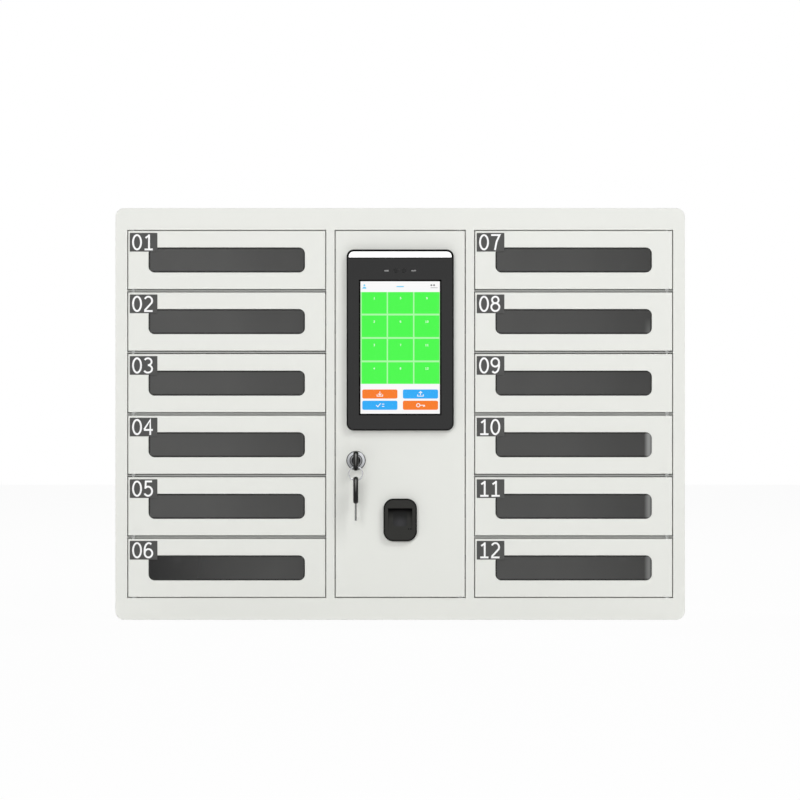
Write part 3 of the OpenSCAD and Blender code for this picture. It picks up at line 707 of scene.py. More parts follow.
def rounded(x0, z0, x1, z1, radius, steps=5):
    """Outline of a rectangle with round corners."""
    corners = [(x1, z1, 0), (x0, z1, 90), (x0, z0, 180), (x1, z0, 270)]
    points = []
    for x, z, start in corners:
        cx = x - radius if x == x1 else x + radius
        cz = z - radius if z == z1 else z + radius
        points += arc(cx, cz, radius, radius, start, start + 90, steps)
    return points


def patch(solid, points, y):
    """Adds a flat outline in the x-z plane."""
    solid.faces.new([solid.verts.new((x, y, z)) for x, z in points])


def thick(name, solid, depth, material):
    """Turns flat patches and strokes into thin solids that face -y and reach depth behind."""
    for face in solid.faces:
        face.normal_update()
        if face.normal.y > 0:
            face.normal_flip()
    piece = object_of(name, solid, material)
    wall = piece.modifiers.new("Depth", "SOLIDIFY")
    wall.thickness = depth
    wall.offset = -1
    return as_plain(piece)


def numeral(solid, text, x, z, width, height, stroke, step, y):
    """Adds a plain number whose first digit has its lower left corner at x, z."""
    half_w, half_h = (width - stroke) / 2, (height - stroke) / 2
    # Strokes that cross lie one before the other by this much
    lift = stroke * 0.007
    for at, digit in enumerate(text):
        mid_x = x + width / 2 + at * step
        for order, points in enumerate(DIGITS[digit]):
            drawn = [(mid_x + u * half_w, z + height / 2 + v * half_h) for u, v in points]
            ribbon(solid, drawn, stroke, y - order * lift)


class NodeTree(Graph):
    """A Geometry Nodes tree with named inputs, which ends in real faces with a material."""

    def __init__(self, name, inputs):
        super().__init__(bpy.data.node_groups.new(name, "GeometryNodeTree"))
        face = self.tree.interface
        face.new_socket("Geometry", in_out="INPUT", socket_type="NodeSocketGeometry")
        face.new_socket("Geometry", in_out="OUTPUT", socket_type="NodeSocketGeometry")
        for label, kind, default in inputs:
            made = face.new_socket(label, in_out="INPUT", socket_type="NodeSocket" + kind)
            made.default_value = default
        first = self.node("NodeGroupInput")
        self.given = {socket.name: Link(self, socket) for socket in first.socket.node.outputs}

    def vector(self, x=0.0, y=0.0, z=0.0):
        """A vector of links or numbers."""
        return self.node("ShaderNodeCombineXYZ", values={"X": x, "Y": y, "Z": z})

    def moved(self, geometry, spot, turn=(0, 0, 0)):
        """Geometry turned and then moved."""
        values = {"Geometry": geometry, "Translation": spot, "Rotation": turn}
        return self.node("GeometryNodeTransform", values=values)

    def end(self, geometry, material):
        """Makes instances real, gives them the material and closes the tree."""
        real = self.node("GeometryNodeRealizeInstances", values={0: geometry})
        done = self.node("GeometryNodeSetMaterial", values={"Geometry": real, "Material": material})
        self.node("NodeGroupOutput", values={0: done})
        return self.tree


def grown(piece, tree, values):
    """Runs a tree on a piece with these inputs, and keeps the result as its plain mesh."""
    modifier = piece.modifiers.new(tree.name, "NODES")
    modifier.node_group = tree
    for item in tree.interface.items_tree:
        if item.in_out == "INPUT" and item.name in values:
            modifier[item.identifier] = values[item.name]
    return as_plain(piece)


def screw_tree(material):
    """Screw heads on the points of a mesh, each facing along its point's own vector."""
    tree = NodeTree(
        "Screws",
        [
            ("Head diameter", "Float", 5 * MM),
            ("Head height", "Float", 1.6 * MM),
            ("Dome", "Float", 0.5 * MM),
            ("Recess", "Float", 2.8 * MM),
            ("Recess width", "Float", 0.7 * MM),
            ("Seed", "Int", 3),
        ],
    )
    given = tree.given
    radius = given["Head diameter"] / 2
    height = given["Head height"]
    head = tree.node(
        "GeometryNodeMeshCylinder",
        values={"Vertices": 20, "Side Segments": 1, "Fill Segments": 3, "Radius": radius, "Depth": height},
    )
    spot = tree.node("GeometryNodeInputPosition")
    x = tree.node("ShaderNodeSeparateXYZ", values={0: spot}, output="X")
    y = tree.from_same(x, "Y")
    out = (x * x + y * y) / (radius * radius)
    sink = 0 - (tree.from_same(x, "Z") > 0) * out * given["Dome"]
    domed = tree.node(
        "GeometryNodeSetPosition", values={"Geometry": head, "Offset": tree.vector(z=sink)}
    )
    long, short = given["Recess"], given["Recess width"]
    wings = []
    # The two wings end at different depths, so that none of their faces coincide
    for wide, deep, rise in ((long, short, 0.6), (short, long, 0.63)):
        size = tree.vector(wide, deep, height)
        wing = tree.node("GeometryNodeMeshCube", values={"Size": size})
        wings.append(tree.moved(wing, tree.vector(z=height * rise)))
    cut = tree.node(
        "GeometryNodeMeshBoolean",
        {"operation": "DIFFERENCE", "solver": "EXACT"},
        {"Mesh 1": domed, "Mesh 2": wings},
    )
    seated = tree.moved(cut, tree.vector(z=height / 2))
    facing = tree.node(
        "GeometryNodeInputNamedAttribute", {"data_type": "FLOAT_VECTOR"}, {"Name": "facing"}
    )
    turned = tree.node("FunctionNodeAlignRotationToVector", {"axis": "Z"}, {"Vector": facing})
    placed = tree.node(
        "GeometryNodeInstanceOnPoints",
        values={"Points": given["Geometry"], "Instance": seated, "Rotation": turned},
    )
    turn = tree.node(
        "FunctionNodeRandomValue",
        {"data_type": "FLOAT"},
        {"Min": 0.0, "Max": math.pi, "Seed": given["Seed"]},
        output="Value",
    )
    loose = tree.node(
        "GeometryNodeRotateInstances",
        values={
            "Instances": placed,
            "Rotation": tree.vector(z=turn),
            "Local Space": True,
        },
    )
    return tree.end(loose, material)


def screws(name, tree, body, spots):
    """Screw heads at these spots, each a place and the way it faces."""
    sizes = {"Head diameter": 5 * MM, "Head height": 1.5 * MM, "Dome": 0.45 * MM}
    mesh = bpy.data.meshes.new(name)
    mesh.from_pydata([spot for spot, _ in spots], [], [])
    facing = mesh.attributes.new("facing", "FLOAT_VECTOR", "POINT")
    for at, (_, way) in enumerate(spots):
        facing.data[at].vector = way
    place(grown(new_object(name, mesh), tree, sizes), body, "plated_steel")


def tile_tree(material):
    """Upright tiles in rows and columns round a centre."""
    tree = NodeTree(
        "Tiles",
        [
            ("Columns", "Int", 3),
            ("Rows", "Int", 4),
            ("Tile width", "Float", 28 * MM),
            ("Tile height", "Float", 25 * MM),
            ("Gap across", "Float", 3 * MM),
            ("Gap down", "Float", 2 * MM),
            ("Depth", "Float", 0.03 * MM),
            ("Centre", "Vector", (0, 0, 0)),
        ],
    )
    given = tree.given
    wide, high = given["Tile width"], given["Tile height"]
    grid = tree.node(
        "GeometryNodeMeshGrid",
        values={
            "Size X": (wide + given["Gap across"]) * (given["Columns"] - 1),
            "Size Y": (high + given["Gap down"]) * (given["Rows"] - 1),
            "Vertices X": given["Columns"],
            "Vertices Y": given["Rows"],
        },
    )
    size = tree.vector(wide, high, given["Depth"])
    tile = tree.node("GeometryNodeMeshCube", values={"Size": size})
    spots = tree.node("GeometryNodeInstanceOnPoints", values={"Points": grid, "Instance": tile})
    return tree.end(tree.moved(spots, given["Centre"], (math.pi / 2, 0, 0)), material)


def rim_distance(x, y, half_x, half_y, radius):
    """Distance outside a rectangle with round corners round the origin, below 0 inside it."""
    out_x, out_y = abs(x) - half_x + radius, abs(y) - half_y + radius
    outside = math.hypot(max(out_x, 0), max(out_y, 0))
    return outside + min(max(out_x, out_y), 0) - radius


def on_rim(angle, size, mid=Vector((0, 0))):
    """Where a ray from the origin meets the rim of such a rectangle, and the rim's outward normal.

    The rectangle lies round mid. A metre of the ray is halved again and again.
    """
    halvings = 44
    way = Vector((math.cos(angle), math.sin(angle)))
    near, far = 0.0, 1.0
    for _ in range(halvings):
        middle = (near + far) / 2
        inside = rim_distance(*(way * middle - mid), *size) < 0
        near, far = (middle, far) if inside else (near, middle)
    rim = way * near
    x, y = rim - mid
    step = 1e-6
    slope = Vector(
        (
            rim_distance(x + step, y, *size) - rim_distance(x - step, y, *size),
            rim_distance(x, y + step, *size) - rim_distance(x, y - step, *size),
        )
    )
    return rim, slope.normalized()


def join_rings(solid, rings):
    """Adds the faces between each closed ring of points and the next one."""
    for ring, after in zip(rings, rings[1:]):
        for i in range(len(ring)):
            j = (i + 1) % len(ring)
            solid.faces.new((ring[i], ring[j], after[j], after[i]))


def bow_angles(outer, inner, mid, outer_rays=88, inner_rays=36, least=0.02):
    """Directions from the slot's middle to points spread over both rims, none too close together."""
    angles = set()
    for i in range(outer_rays):
        rim, _ = on_rim(math.tau * (i + 0.5) / outer_rays, outer)
        spot = rim + mid
        angles.add(round(math.atan2(spot.y, spot.x), 4))
    for i in range(inner_rays):
        rim, _ = on_rim(math.tau * i / inner_rays, inner)
        angles.add(round(math.atan2(rim.y, rim.x), 4))
    kept = []
    for angle in sorted(angles):
        if not kept or angle - kept[-1] >= least:
            kept.append(angle)
    return kept


def key_bow(name, size, slot_mid, slot_size, look, material):
    """A plastic bow flat in the x-y plane, its slot's middle at the origin, with round edges.

    It reaches slot_mid beyond the slot's middle towards -y, and the rest of its length towards +y.
    """
    wide, long, deep = size
    corner = 7 * MM
    mid = Vector((0, long / 2 - slot_mid))
    outer = (wide / 2, long / 2, corner)
    inner = (slot_size[0] / 2, slot_size[1] / 2, slot_size[1] / 2)
    solid = bmesh.new()
    rings = []
    for angle in bow_angles(outer, inner, mid):
        rim, normal = on_rim(angle, outer, mid)
        # The slot's edge is met on the ray to where the outer edge's rounding ends
        flat_from = rim - normal * look.bow_edge
        hole, hole_normal = on_rim(math.atan2(flat_from.y, flat_from.x), inner)
        profile = []
        # Both edges are rounded in steps of some degrees
        for spot, out, radius, high, turns in (
            (rim, normal, look.bow_edge, deep / 2, range(90, -91, -18)),
            (hole, -hole_normal, look.slot_edge, look.slot_edge, range(-90, 91, 30)),
        ):
            for turn in turns:
                t = math.radians(turn)
                at = spot - out * radius * (1 - math.cos(t))
                level = math.copysign(deep / 2 - high, turn) if turn else 0.0
                profile.append(solid.verts.new((at.x, at.y, level + high * math.sin(t))))
        rings.append(profile)
    join_rings(solid, rings + rings[:1])
    bmesh.ops.recalc_face_normals(solid, faces=solid.faces)
    for face in solid.faces:
        face.smooth = True
    return object_of(name, solid, material)


class LockerPiece:
    """What the operators share."""

    bl_options = {"REGISTER"}

    def execute(self, context):
        """Makes the pieces; what can't be made raises an error."""
        self.make(context.scene)
        return {"FINISHED"}


def near_front(node, depth=0.1 * MM):
    """A test for edges that lie less than this far behind a piece's front."""
    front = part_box(node)[0].y
    return lambda p: p.y < front + depth


def cut_outs(node, rim=3 * MM):
    """A test for the front edges of a door's cut-outs, away from the bends round its face."""
    low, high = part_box(node)
    at_front = near_front("front_frame", 0.5 * MM)
    return lambda p: at_front(p) and all(low[i] + rim < p[i] < high[i] - rim for i in (0, 2))


class LOCKER_OT_cabinet(LockerPiece, bpy.types.Operator):
    """Paints the cabinet, its frame, shelves and partitions"""

    bl_idname = "locker.cabinet"
    bl_label = "Cabinet"

    def make(self, scene):
        look = scene.locker_cabinet
        paint = paint_finish("powder_coat", look.paint, look.grain)
        for node in ("outer_shell", "back_panel", "bay_partitions"):
            coat(node, paint)
        # The shelves' front folds get painted shade for the gaps between the doors
        coat("cell_shelves", paint_finish("shelf_coat", look.paint, look.grain, look.gap_shade))
        front = near_front("front_frame", 0.5 * MM)
        finish_node("front_frame", paint, look.edge, "white_paint", where=front)
        coat("hinge_pins", metal_finish("pin_steel", srgb(176, 178, 178), 0.32, (1, 1, 0.1)))


class LOCKER_OT_doors(LockerPiece, bpy.types.Operator):
    """Finishes the cell doors and their windows"""

    bl_idname = "locker.doors"
    bl_label = "Cell doors"

    def make(self, scene):
        look = scene.locker_cabinet
        paint = bpy.data.materials["powder_coat"]
        pane = pane_finish()
        for cell in CELLS:
            door = "door_" + cell
            finish_node(door, paint, look.edge, "white_paint", where=cut_outs(door))
            coat("window_" + cell, pane)


class LOCKER_OT_plates(LockerPiece, bpy.types.Operator):
    """Makes the number plates with their digits"""

    bl_idname = "locker.plates"
    bl_label = "Number plates"

    def make(self, scene):
        look = scene.locker_plates
        plate_finish = plastic_finish("plate_plastic", look.plate, 0.35 * MM, rough=0.45)
        digit_finish = plastic_finish("plate_digits", look.digits, 0.5 * MM, rough=0.5, relief=0.1)
        front = FACE_Y - look.thickness
        corner, edge, margin = 0.4 * MM, 0.18 * MM, 2.4 * MM
        # The digits stand this far proud of their plate, and their backs lie within it
        proud, depth = 0.08 * MM, 0.12 * MM
        for cell in CELLS:
            low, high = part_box("door_" + cell)
            left, top = low.x + look.inset, high.z - look.drop
            solid = bmesh.new()
            patch(solid, rounded(left, top - look.height, left + look.width, top, corner, 3), front)
            plate = thick("plate_" + cell, solid, look.thickness, plate_finish)
            soften(plate, edge, where=lambda p: p.y < front + 0.01 * MM)
            place(plate, "cell_door_" + cell, "smoked_acrylic")
            solid = bmesh.new()
            foot = top - (look.height + look.digit_height) / 2
            size = (look.digit_width, look.digit_height, look.stroke)
            numeral(solid, cell, left + margin, foot, *size, look.spacing, front - proud)
            digits = thick("digits_" + cell, solid, depth, digit_finish)
            place(digits, "cell_door_" + cell, "white_paint")


class LOCKER_OT_service_door(LockerPiece, bpy.types.Operator):
    """Paints the service door, whose cut-outs are all covered"""

    bl_idname = "locker.service_door"
    bl_label = "Service door"

    def make(self, scene):
        coat("service_door", bpy.data.materials["powder_coat"])


def outer_rim(node, radius, reach):
    """A test for edges that lie within reach of a piece's rounded outline, seen from the front."""
    low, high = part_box(node)
    mid, half = (low + high) / 2, (high - low) / 2

    def passes(p):
        return rim_distance(p.x - mid.x, p.z - mid.z, half.x, half.z, radius) > -reach

    return passes


class LOCKER_OT_terminal(LockerPiece, bpy.types.Operator):
    """Finishes the terminal's case, glass, light bar and camera"""

    bl_idname = "locker.terminal"
    bl_label = "Terminal"

    def make(self, scene):
        node = "terminal_case"
        case = plastic_finish("case_plastic", srgb(7, 7, 7), 0.3 * MM, relief=0.2, gloss=0.08)
        at_front, at_rim = near_front(node), outer_rim(node, 8 * MM, 0.6 * MM)
        finish_node(node, case, 0.5 * MM, "black_plastic", 3, lambda p: at_front(p) and at_rim(p))
        node = "terminal_glass"
        finish_node(node, front_glass_finish(), 0.2 * MM, "front_glass", where=near_front(node))
        finish_node("light_bar", light_finish(), 0.25 * MM, "light_bar")
        coat("camera_module", camera_finish())


class LOCKER_OT_screen(LockerPiece, bpy.types.Operator):
    """Makes the display and the picture on it"""

    bl_idname = "locker.screen"
    bl_label = "Screen"

    # The picture's layers lie this far behind the glass, and each is this thick
    depths = {"page": 0.15 * MM, "field": 0.11 * MM, "tiles": 0.08 * MM, "marks": 0.02 * MM}
    sheet = 0.03 * MM
    # Width, height and corner of a button, its distance from the picture's side, and the rows'
    # height above the picture's foot
    button_size = (40.1 * MM, 10.4 * MM, 1.8 * MM)
    button_side = 2 * MM
    button_rows = (17.2 * MM, 4.4 * MM)

    def make(self, scene):
        look = scene.locker_screen
        self.panel()
        low_x, low_z, high_x, high_z = PICTURE
        right = high_x - 0.6 * MM
        top = high_z - look.header
        foot = top - look.rows * look.tile_height - (look.rows - 1) * look.gap_down
        tile_w = right - low_x - look.left - (look.columns - 1) * look.gap_across
        tile_w /= look.columns
        page = lit_finish("lit_page", srgb(255, 255, 255))

        solid = bmesh.new()
        patch(solid, [(low_x, low_z), (high_x, low_z), (high_x, high_z), (low_x, high_z)], self.at("page"))
        self.layer("screen_page", solid, page)
        solid = bmesh.new()
        patch(solid, [(low_x, foot), (high_x, foot), (high_x, top), (low_x, top)], self.at("field"))
        self.layer("screen_field", solid, lit_finish("lit_field", look.field))

        sizes = {
            "Columns": look.columns,
            "Rows": look.rows,
            "Tile width": tile_w,
            "Tile height": look.tile_height,
            "Gap across": look.gap_across,
            "Gap down": look.gap_down,
            "Depth": self.sheet,
            "Centre": ((low_x + look.left + right) / 2, self.at("tiles"), (top + foot) / 2),
        }
        tiles = new_object("screen_tiles", bpy.data.meshes.new("screen_tiles"))
        grown(tiles, tile_tree(lit_finish("lit_tile", look.tile)), sizes)
        place(tiles, "service_panel", "display")

        marks = bmesh.new()
        self.numbers(marks, look, low_x + look.left + tile_w / 2, tile_w + look.gap_across, top)
        self.button_marks(marks)
        self.layer("screen_marks", marks, page)
        wide, high, corner = self.button_size
        for name, shade, spots in (("warm", look.warm, (0, 3)), ("cool", look.cool, (1, 2))):
            solid = bmesh.new()
            for x, z in map(self.button, spots):
                patch(solid, rounded(x, z, x + wide, z + high, corner), self.at("tiles"))
            self.layer("screen_buttons_" + name, solid, lit_finish("lit_" + name, shade))
        self.header()

    @staticmethod
    def panel():
        """The display's dark panel, whose front ends just behind the picture."""
        border = plastic_finish("display_border", srgb(6, 6, 6), 0.4 * MM, relief=0.05, gloss=0.02)
        panel = softened("display_panel", border, 0.2 * MM)
        front = GLASS_BACK + 0.2 * MM
        for vertex in panel.data.vertices:
            vertex.co.y = max(vertex.co.y, front)
        place(panel, "service_panel", "display", "display_panel")

    def at(self, depth):
        """Where a layer's front lies."""
        return GLASS_BACK + self.depths[depth]

    def layer(self, name, solid, material):
        """Ends a layer of the picture."""
        place(thick(name, solid, self.sheet, material), "service_panel", "display")

    def numbers(self, marks, look, first_x, step_x, top):
        """A small plain number on each tile, counted down the columns."""
        width, height, stroke, step = 1.7 * MM, 2.6 * MM, 0.42 * MM, 2.1 * MM
        foot = 8.3 * MM
        for column in range(look.columns):
            for row in range(look.rows):
                number = str(1 + row + column * look.rows)
                mid = first_x + column * step_x
                z = top - row * (look.tile_height + look.gap_down) - foot
                x = mid - ((len(number) - 1) * step + width) / 2
                numeral(marks, number, x, z, width, height, stroke, step, self.at("marks"))

    def button(self, spot):
        """Lower left corner of a button: 0 and 1 in the upper row, 2 and 3 in the lower one."""
        low_x, low_z, high_x, _ = PICTURE
        left = low_x + self.button_side
        right = high_x - self.button_side - self.button_size[0]
        return (right if spot % 2 else left), low_z + self.button_rows[spot // 2]

    def button_marks(self, marks):
        """An arrow into a tray, one out of it, a tick beside two bars, and a key, in millimetres."""
        for spot in range(4):
            x, z = self.button(spot)
            mid_x, mid_z = x + self.button_size[0] / 2, z + self.button_size[1] / 2

            def draw(*points):
                spots = [(mid_x + u * MM, mid_z + v * MM) for u, v in points]
                ribbon(marks, spots, 0.8 * MM, self.at("marks"))

            if spot < 2:
                draw((-3.6, -2.4), (3.6, -2.4))
                for side in (-3.2, 3.2):
                    draw((side, -0.4), (side, -2.6))
                tip, tail, turn = (-1.3, 2.9, 1) if spot == 0 else (2.9, -1.3, -1)
                draw((0, tail), (0, tip))
                for side in (-1, 1):
                    draw((side * 1.9, tip + turn * 1.7), (-side * 0.15, tip - turn * 0.13))
            elif spot == 2:
                draw((-4.2, 0.2), (-2.1, -2.0))
                draw((-2.45, -1.95), (1.0, 2.2))
                for level in (1.3, -1.3):
                    draw((2.4, level), (5.0, level))
            else:
                draw(*oval(-2.6, 0, 1.9, 1.9))
                draw((-0.7, 0), (5.0, 0))
                draw((3.4, 0), (3.4, -1.8))
                draw((4.7, 0), (4.7, -1.6))

    def header(self):
        """Signs in the strip above the tiles: a head over shoulders, bars and two small boxes."""
        low_x, _, high_x, high_z = PICTURE
        mid_z, y = high_z - 6 * MM, self.at("tiles")
        left_x, right_x = low_x + 4.4 * MM, high_x - 6.6 * MM
        head, shoulders = 1.1 * MM, 2.3 * MM

        def bar(x, up, half_x, half_z, corner):
            z = mid_z + up
            patch(solid, rounded(x - half_x, z - half_z, x + half_x, z + half_z, corner), y)

        solid = bmesh.new()
        patch(solid, oval(left_x, mid_z + 1.5 * MM, head, head, 16)[:-1], y)
        patch(solid, arc(left_x, mid_z - 2.4 * MM, shoulders, shoulders, 0, 180, 12), y)
        bar(0, 0, 4.2 * MM, 0.6 * MM, 0.5 * MM)
        self.layer("screen_header", solid, lit_finish("lit_sky", srgb(120, 214, 250)))
        solid = bmesh.new()
        for x in (right_x - 3 * MM, right_x):
            bar(x, 1.6 * MM, 1 * MM, 0.9 * MM, 0.3 * MM)
        bar(right_x, -1.35 * MM, 4 * MM, 0.25 * MM, 0.2 * MM)
        self.layer("screen_signs", solid, lit_finish("lit_grey", srgb(120, 120, 124)))


class LOCKER_OT_reader(LockerPiece, bpy.types.Operator):
    """Finishes the fingerprint reader"""

    bl_idname = "locker.reader"
    bl_label = "Fingerprint reader"

    # Radius of the housing's corners, seen from the front
    corner = 11.5 * MM

    def make(self, scene):
        node = "fingerprint_reader"
        at_front, at_rim = near_front(node), outer_rim(node, self.corner, 0.5 * MM)
        body = softened(
            node, self.moulded(node), 1.6 * MM, 5, lambda p: at_front(p) and at_rim(p), split=True
        )
        place(body, "service_panel", "black_plastic", node)
        coat("fingerprint_window", self.sensor())

    def moulded(self, node):
        """Black plastic with painted shade round its rim and high up in the scoop, and two dark lamps."""
        f = Finish("reader_plastic")
        low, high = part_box(node)
        mid, half = (low + high) / 2, (high - low) / 2
        fine = f.noise(0.28 * MM, detail=3.0)
        cloud = f.noise(25 * MM)
        past_x = (f.x - mid.x).size().past(half.x - self.corner)
        past_z = (f.z - mid.z).size().past(half.z - self.corner)
        # Painted shade on the rounded rim, where it turns away from the front
        rim = (f.far(past_x, past_z) - self.corner).ramp(-2.21 * MM, -0.91 * MM)
        scoop_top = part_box("fingerprint_window")[1].z
        # Painted shade in the scoop, darkest under its top edge
        scoop = (f.y - low.y).ramp(0.4 * MM, 0.8 * MM) * (f.z - scoop_top).ramp(-9 * MM, 0)
        # Two lamps side by side below the scoop, off
        lamps_x, lamps_z = mid.x + 10.9 * MM, mid.z - 10.2 * MM
        apart, lamp_radius = 1.2 * MM, 0.8 * MM
        lamps = f.far((f.x - lamps_x).size() - apart, f.z - lamps_z) < lamp_radius
        dark = rim.maths("MAXIMUM", scoop).maths("MAXIMUM", lamps)
        return f.close(
            base_color=f.mix(dark, f.mix(cloud, srgb(48, 48, 46), srgb(52, 52, 50)), srgb(6, 6, 6)),
            roughness=f.spread(fine, 0.44, 0.56),
            specular_ior_level=0.1,
            normal=f.bump(fine, 0.2, 0.02 * MM),
        )

    @staticmethod
    def sensor():
        """Dark glass with painted light below its middle, and painted shade, deep black, under the scoop's
        edge.
        """
        f = Finish("sensor_window")
        haze = f.noise(6 * MM)
        low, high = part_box("fingerprint_window")
        glow_x, glow_z = (low.x + high.x) / 2, low.z * 0.8 + high.z * 0.2
        # Painted light: a paler patch below the window's middle
        glow = f.far(f.x - glow_x, f.z - glow_z).ramp(9.6 * MM, 1.6 * MM)
        lit = f.mix(glow * (0.8 + haze * 0.3), srgb(40, 40, 40), srgb(59, 59, 61))
        # Painted shade: deep black under the scoop's top edge, fading downwards
        below = (high.z - f.z).ramp(0, 11 * MM)
        return f.close(
            base_color=f.mix(below, srgb(14, 14, 14), lit),
            roughness=f.spread(haze, 0.3, 0.42),
            specular_ior_level=0.1,
        )


class LOCKER_OT_lock(LockerPiece, bpy.types.Operator):
    """Finishes the cam lock"""

    bl_idname = "locker.lock"
    bl_label = "Cam lock"

    def make(self, scene):
        chrome = self.plated(scene.locker_lock.chrome)
        for node, depth, edge, segments in (
            ("lock_barrel", 0.8 * MM, 0.3 * MM, 3),
            ("lock_plug", 0.1 * MM, 0.2 * MM, 2),
        ):
            finish_node(node, chrome, edge, "chrome", segments, near_front(node, depth))
        coat("lock_tongue", metal_finish("tongue_zinc", srgb(172, 174, 172), 0.38))

    @staticmethod
    def plated(shade):
        """Plating with painted reflections and painted shade: dark round the flange, round the plug and in
        the keyway's recess.
        """
        f = Finish("lock_chrome")
        flange_radius = 11 * MM
        across, up = f.x - LOCK_X, f.z - LOCK_Z
        # Painted reflections and shade in rings: black in the keyway's recess, bright and grey bands, a
        # dark seam round the plug and a dark outline on the flange's edge
        rings = f.node(
            "ShaderNodeValToRGB",
            {
                "stops": [
                    (0.42, srgb(12, 12, 12)),
                    (0.48, srgb(120, 121, 123)),
                    (0.55, srgb(190, 191, 193)),
                    (0.59, srgb(40, 41, 42)),
                    (0.66, srgb(150, 151, 153)),
                    (0.71, shade),
                    (0.9, shade),
                    (0.95, srgb(38, 39, 40)),
                ]
            },
            {"Fac": f.far(across, up) / flange_radius},
        )
        # Painted reflection: bright at the upper right and dark opposite
        bright_way = 1.1
        away = up.maths("ARCTAN2", across) - bright_way
        dark = (0.5 - away.maths("COSINE") * 0.5) * 0.62
        return f.close(
            base_color=f.mix(dark, rings, srgb(60, 61, 62)),
            metallic=1.0,
            roughness=f.spread(f.noise(3 * MM), 0.1, 0.16),
        )


def key_blade(name, node, material, bow_end, axis, way):
    """The blade of a key as its CAD node has it, from the bow's end on along an axis."""
    solid = merged_copy(node)
    cut, normal = Vector((0, 0, 0)), Vector((0, 0, 0))
    cut[axis], normal[axis] = bow_end, way
    everything = solid.verts[:] + solid.edges[:] + solid.faces[:]
    bmesh.ops.bisect_plane(solid, geom=everything, plane_co=cut, plane_no=normal, clear_inner=True)
    bmesh.ops.holes_fill(solid, edges=[e for e in solid.edges if e.is_boundary])
    return soften(object_of(name, solid, material), 0.12 * MM)


def split_ring(name, centre, radius, wire, material):
    """Two flat turns of spring wire side by side, in the x-z plane."""
    turns, steps, sides = 2, 72, 10
    start, squareness = math.radians(200), 0.6
    half_r, half_y = wire / 2, wire * 0.235
    solid = bmesh.new()
    rings = []
    for i in range(turns * steps + 1):
        t = i / steps
        # The wire crosses over smoothly, round the end of the first turn
        shift = min(1.0, max(0.0, (t - 1 + 0.05) / 0.1))
        shift = shift * shift * (3 - 2 * shift)
        y = centre.y + (shift - 0.5) * wire * 0.5
        # The ends lie a little apart, just as those of a sprung ring do
        angle = math.tau * (t * 0.995) + start
        out = Vector((math.cos(angle), 0, math.sin(angle)))
        ring = []
        for k in range(sides):
            a = math.tau * (k + 0.5) / sides
            u = math.copysign(abs(math.cos(a)) ** squareness, math.cos(a)) * half_r
            v = math.copysign(abs(math.sin(a)) ** squareness, math.sin(a)) * half_y
            spot = Vector((centre.x, y + v, centre.z)) + out * (radius + u)
            ring.append(solid.verts.new(spot))
        rings.append(ring)
    join_rings(solid, rings)
    solid.faces.new(rings[0])
    solid.faces.new(rings[-1])
    bmesh.ops.recalc_face_normals(solid, faces=solid.faces)
    for face in solid.faces:
        face.smooth = len(face.verts) == 4
    return object_of(name, solid, material)


class LOCKER_OT_keys(LockerPiece, bpy.types.Operator):
    """Makes the keys and the ring"""

    bl_idname = "locker.keys"
    bl_label = "Keys"

    def make(self, scene):
        look = scene.locker_lock
        steel = metal_finish("blade_steel", srgb(128, 129, 128), 0.25, (1, 0.12, 1), relief=0.15)
        deep, wide, _ = SPARE_HIGH - SPARE_LOW
        long, slot_w, rim = 30.5 * MM, 4 * MM, 3 * MM
        slot_mid = rim + slot_w / 2
        # The blade starts just inside the bow
        bow_end = long - 0.5 * MM
        mid_y = (SPARE_LOW.y + SPARE_HIGH.y) / 2
        # The key in the lock lies along y and the spare key hangs down, both flat across x. For each, its
        # name, node and body, its turn, its slot's place, the height of the painted highlight on its bow,
        # and where its blade starts, on which axis and which way
        for name, node, body, turn, spot, painted_highlight, cut in (
            (
                "key",
                "key",
                "lock_core",
                ((0, 0, -1), (0, 1, 0), (1, 0, 0)),
                (LOCK_X, KEY_LOW.y + slot_mid, LOCK_Z),
                LOCK_Z + 6 * MM,
                (KEY_LOW.y + bow_end, 1, 1),
            ),
            (
                "spare",
                "spare_key",
                "spare",
                ((0, 0, -1), (1, 0, 0), (0, -1, 0)),
                (LOCK_X, mid_y, SPARE_HIGH.z - slot_mid),
                SPARE_HIGH.z - 5 * MM,
                (SPARE_HIGH.z - bow_end, 2, -1),
            ),
        ):
            plastic = self.highlighted(name + "_plastic", look.bow, painted_highlight)
            slot = (wide - 2 * rim, slot_w)
            bow = key_bow(name + "_bow", (wide, long, deep), slot_mid, slot, look, plastic)
            bow.data.transform(Matrix.Translation(spot) @ Matrix(turn).to_4x4())
            place(bow, body, "black_plastic", node)
            place(key_blade(name + "_blade", node, steel, *cut), body, "key_steel", node)
        wire = RING_HIGH.y - RING_LOW.y
        radius = (RING_HIGH.x - RING_LOW.x - wire) / 2
        centre = (RING_LOW + RING_HIGH) / 2
        shine = metal_finish("ring_steel", srgb(190, 191, 193), 0.14, grain=2 * MM, relief=0.02)
        place(split_ring("ring_wire", centre, radius, wire, shine), "ring", "chrome", "key_ring")

    @staticmethod
    def highlighted(name, shade, height):
        """Black plastic with a painted highlight, a pale streak at a height along the middle of its edge.
        """
        f = Finish(name)
        fine = f.noise(0.4 * MM, detail=3.0)
        patches = f.noise(4 * MM)
        # Painted highlight: a pale streak along the middle of the bow's edge
        line = (f.x - LOCK_X).size().ramp(1.215 * MM, 0.315 * MM)
        over = f.z - height
        below, above = over.ramp(-13 * MM, 0), over.ramp(3.2 * MM, 1.2 * MM)
        painted_highlight = (line * below * above * (0.8 + patches * 0.3)).clamped()
        return f.close(
            base_color=f.mix(painted_highlight, shade, srgb(132, 132, 130)),
            roughness=f.spread(fine, 0.18, 0.28),
            specular_ior_level=0.22,
            normal=f.bump(fine, 0.06, 0.02 * MM),
        )


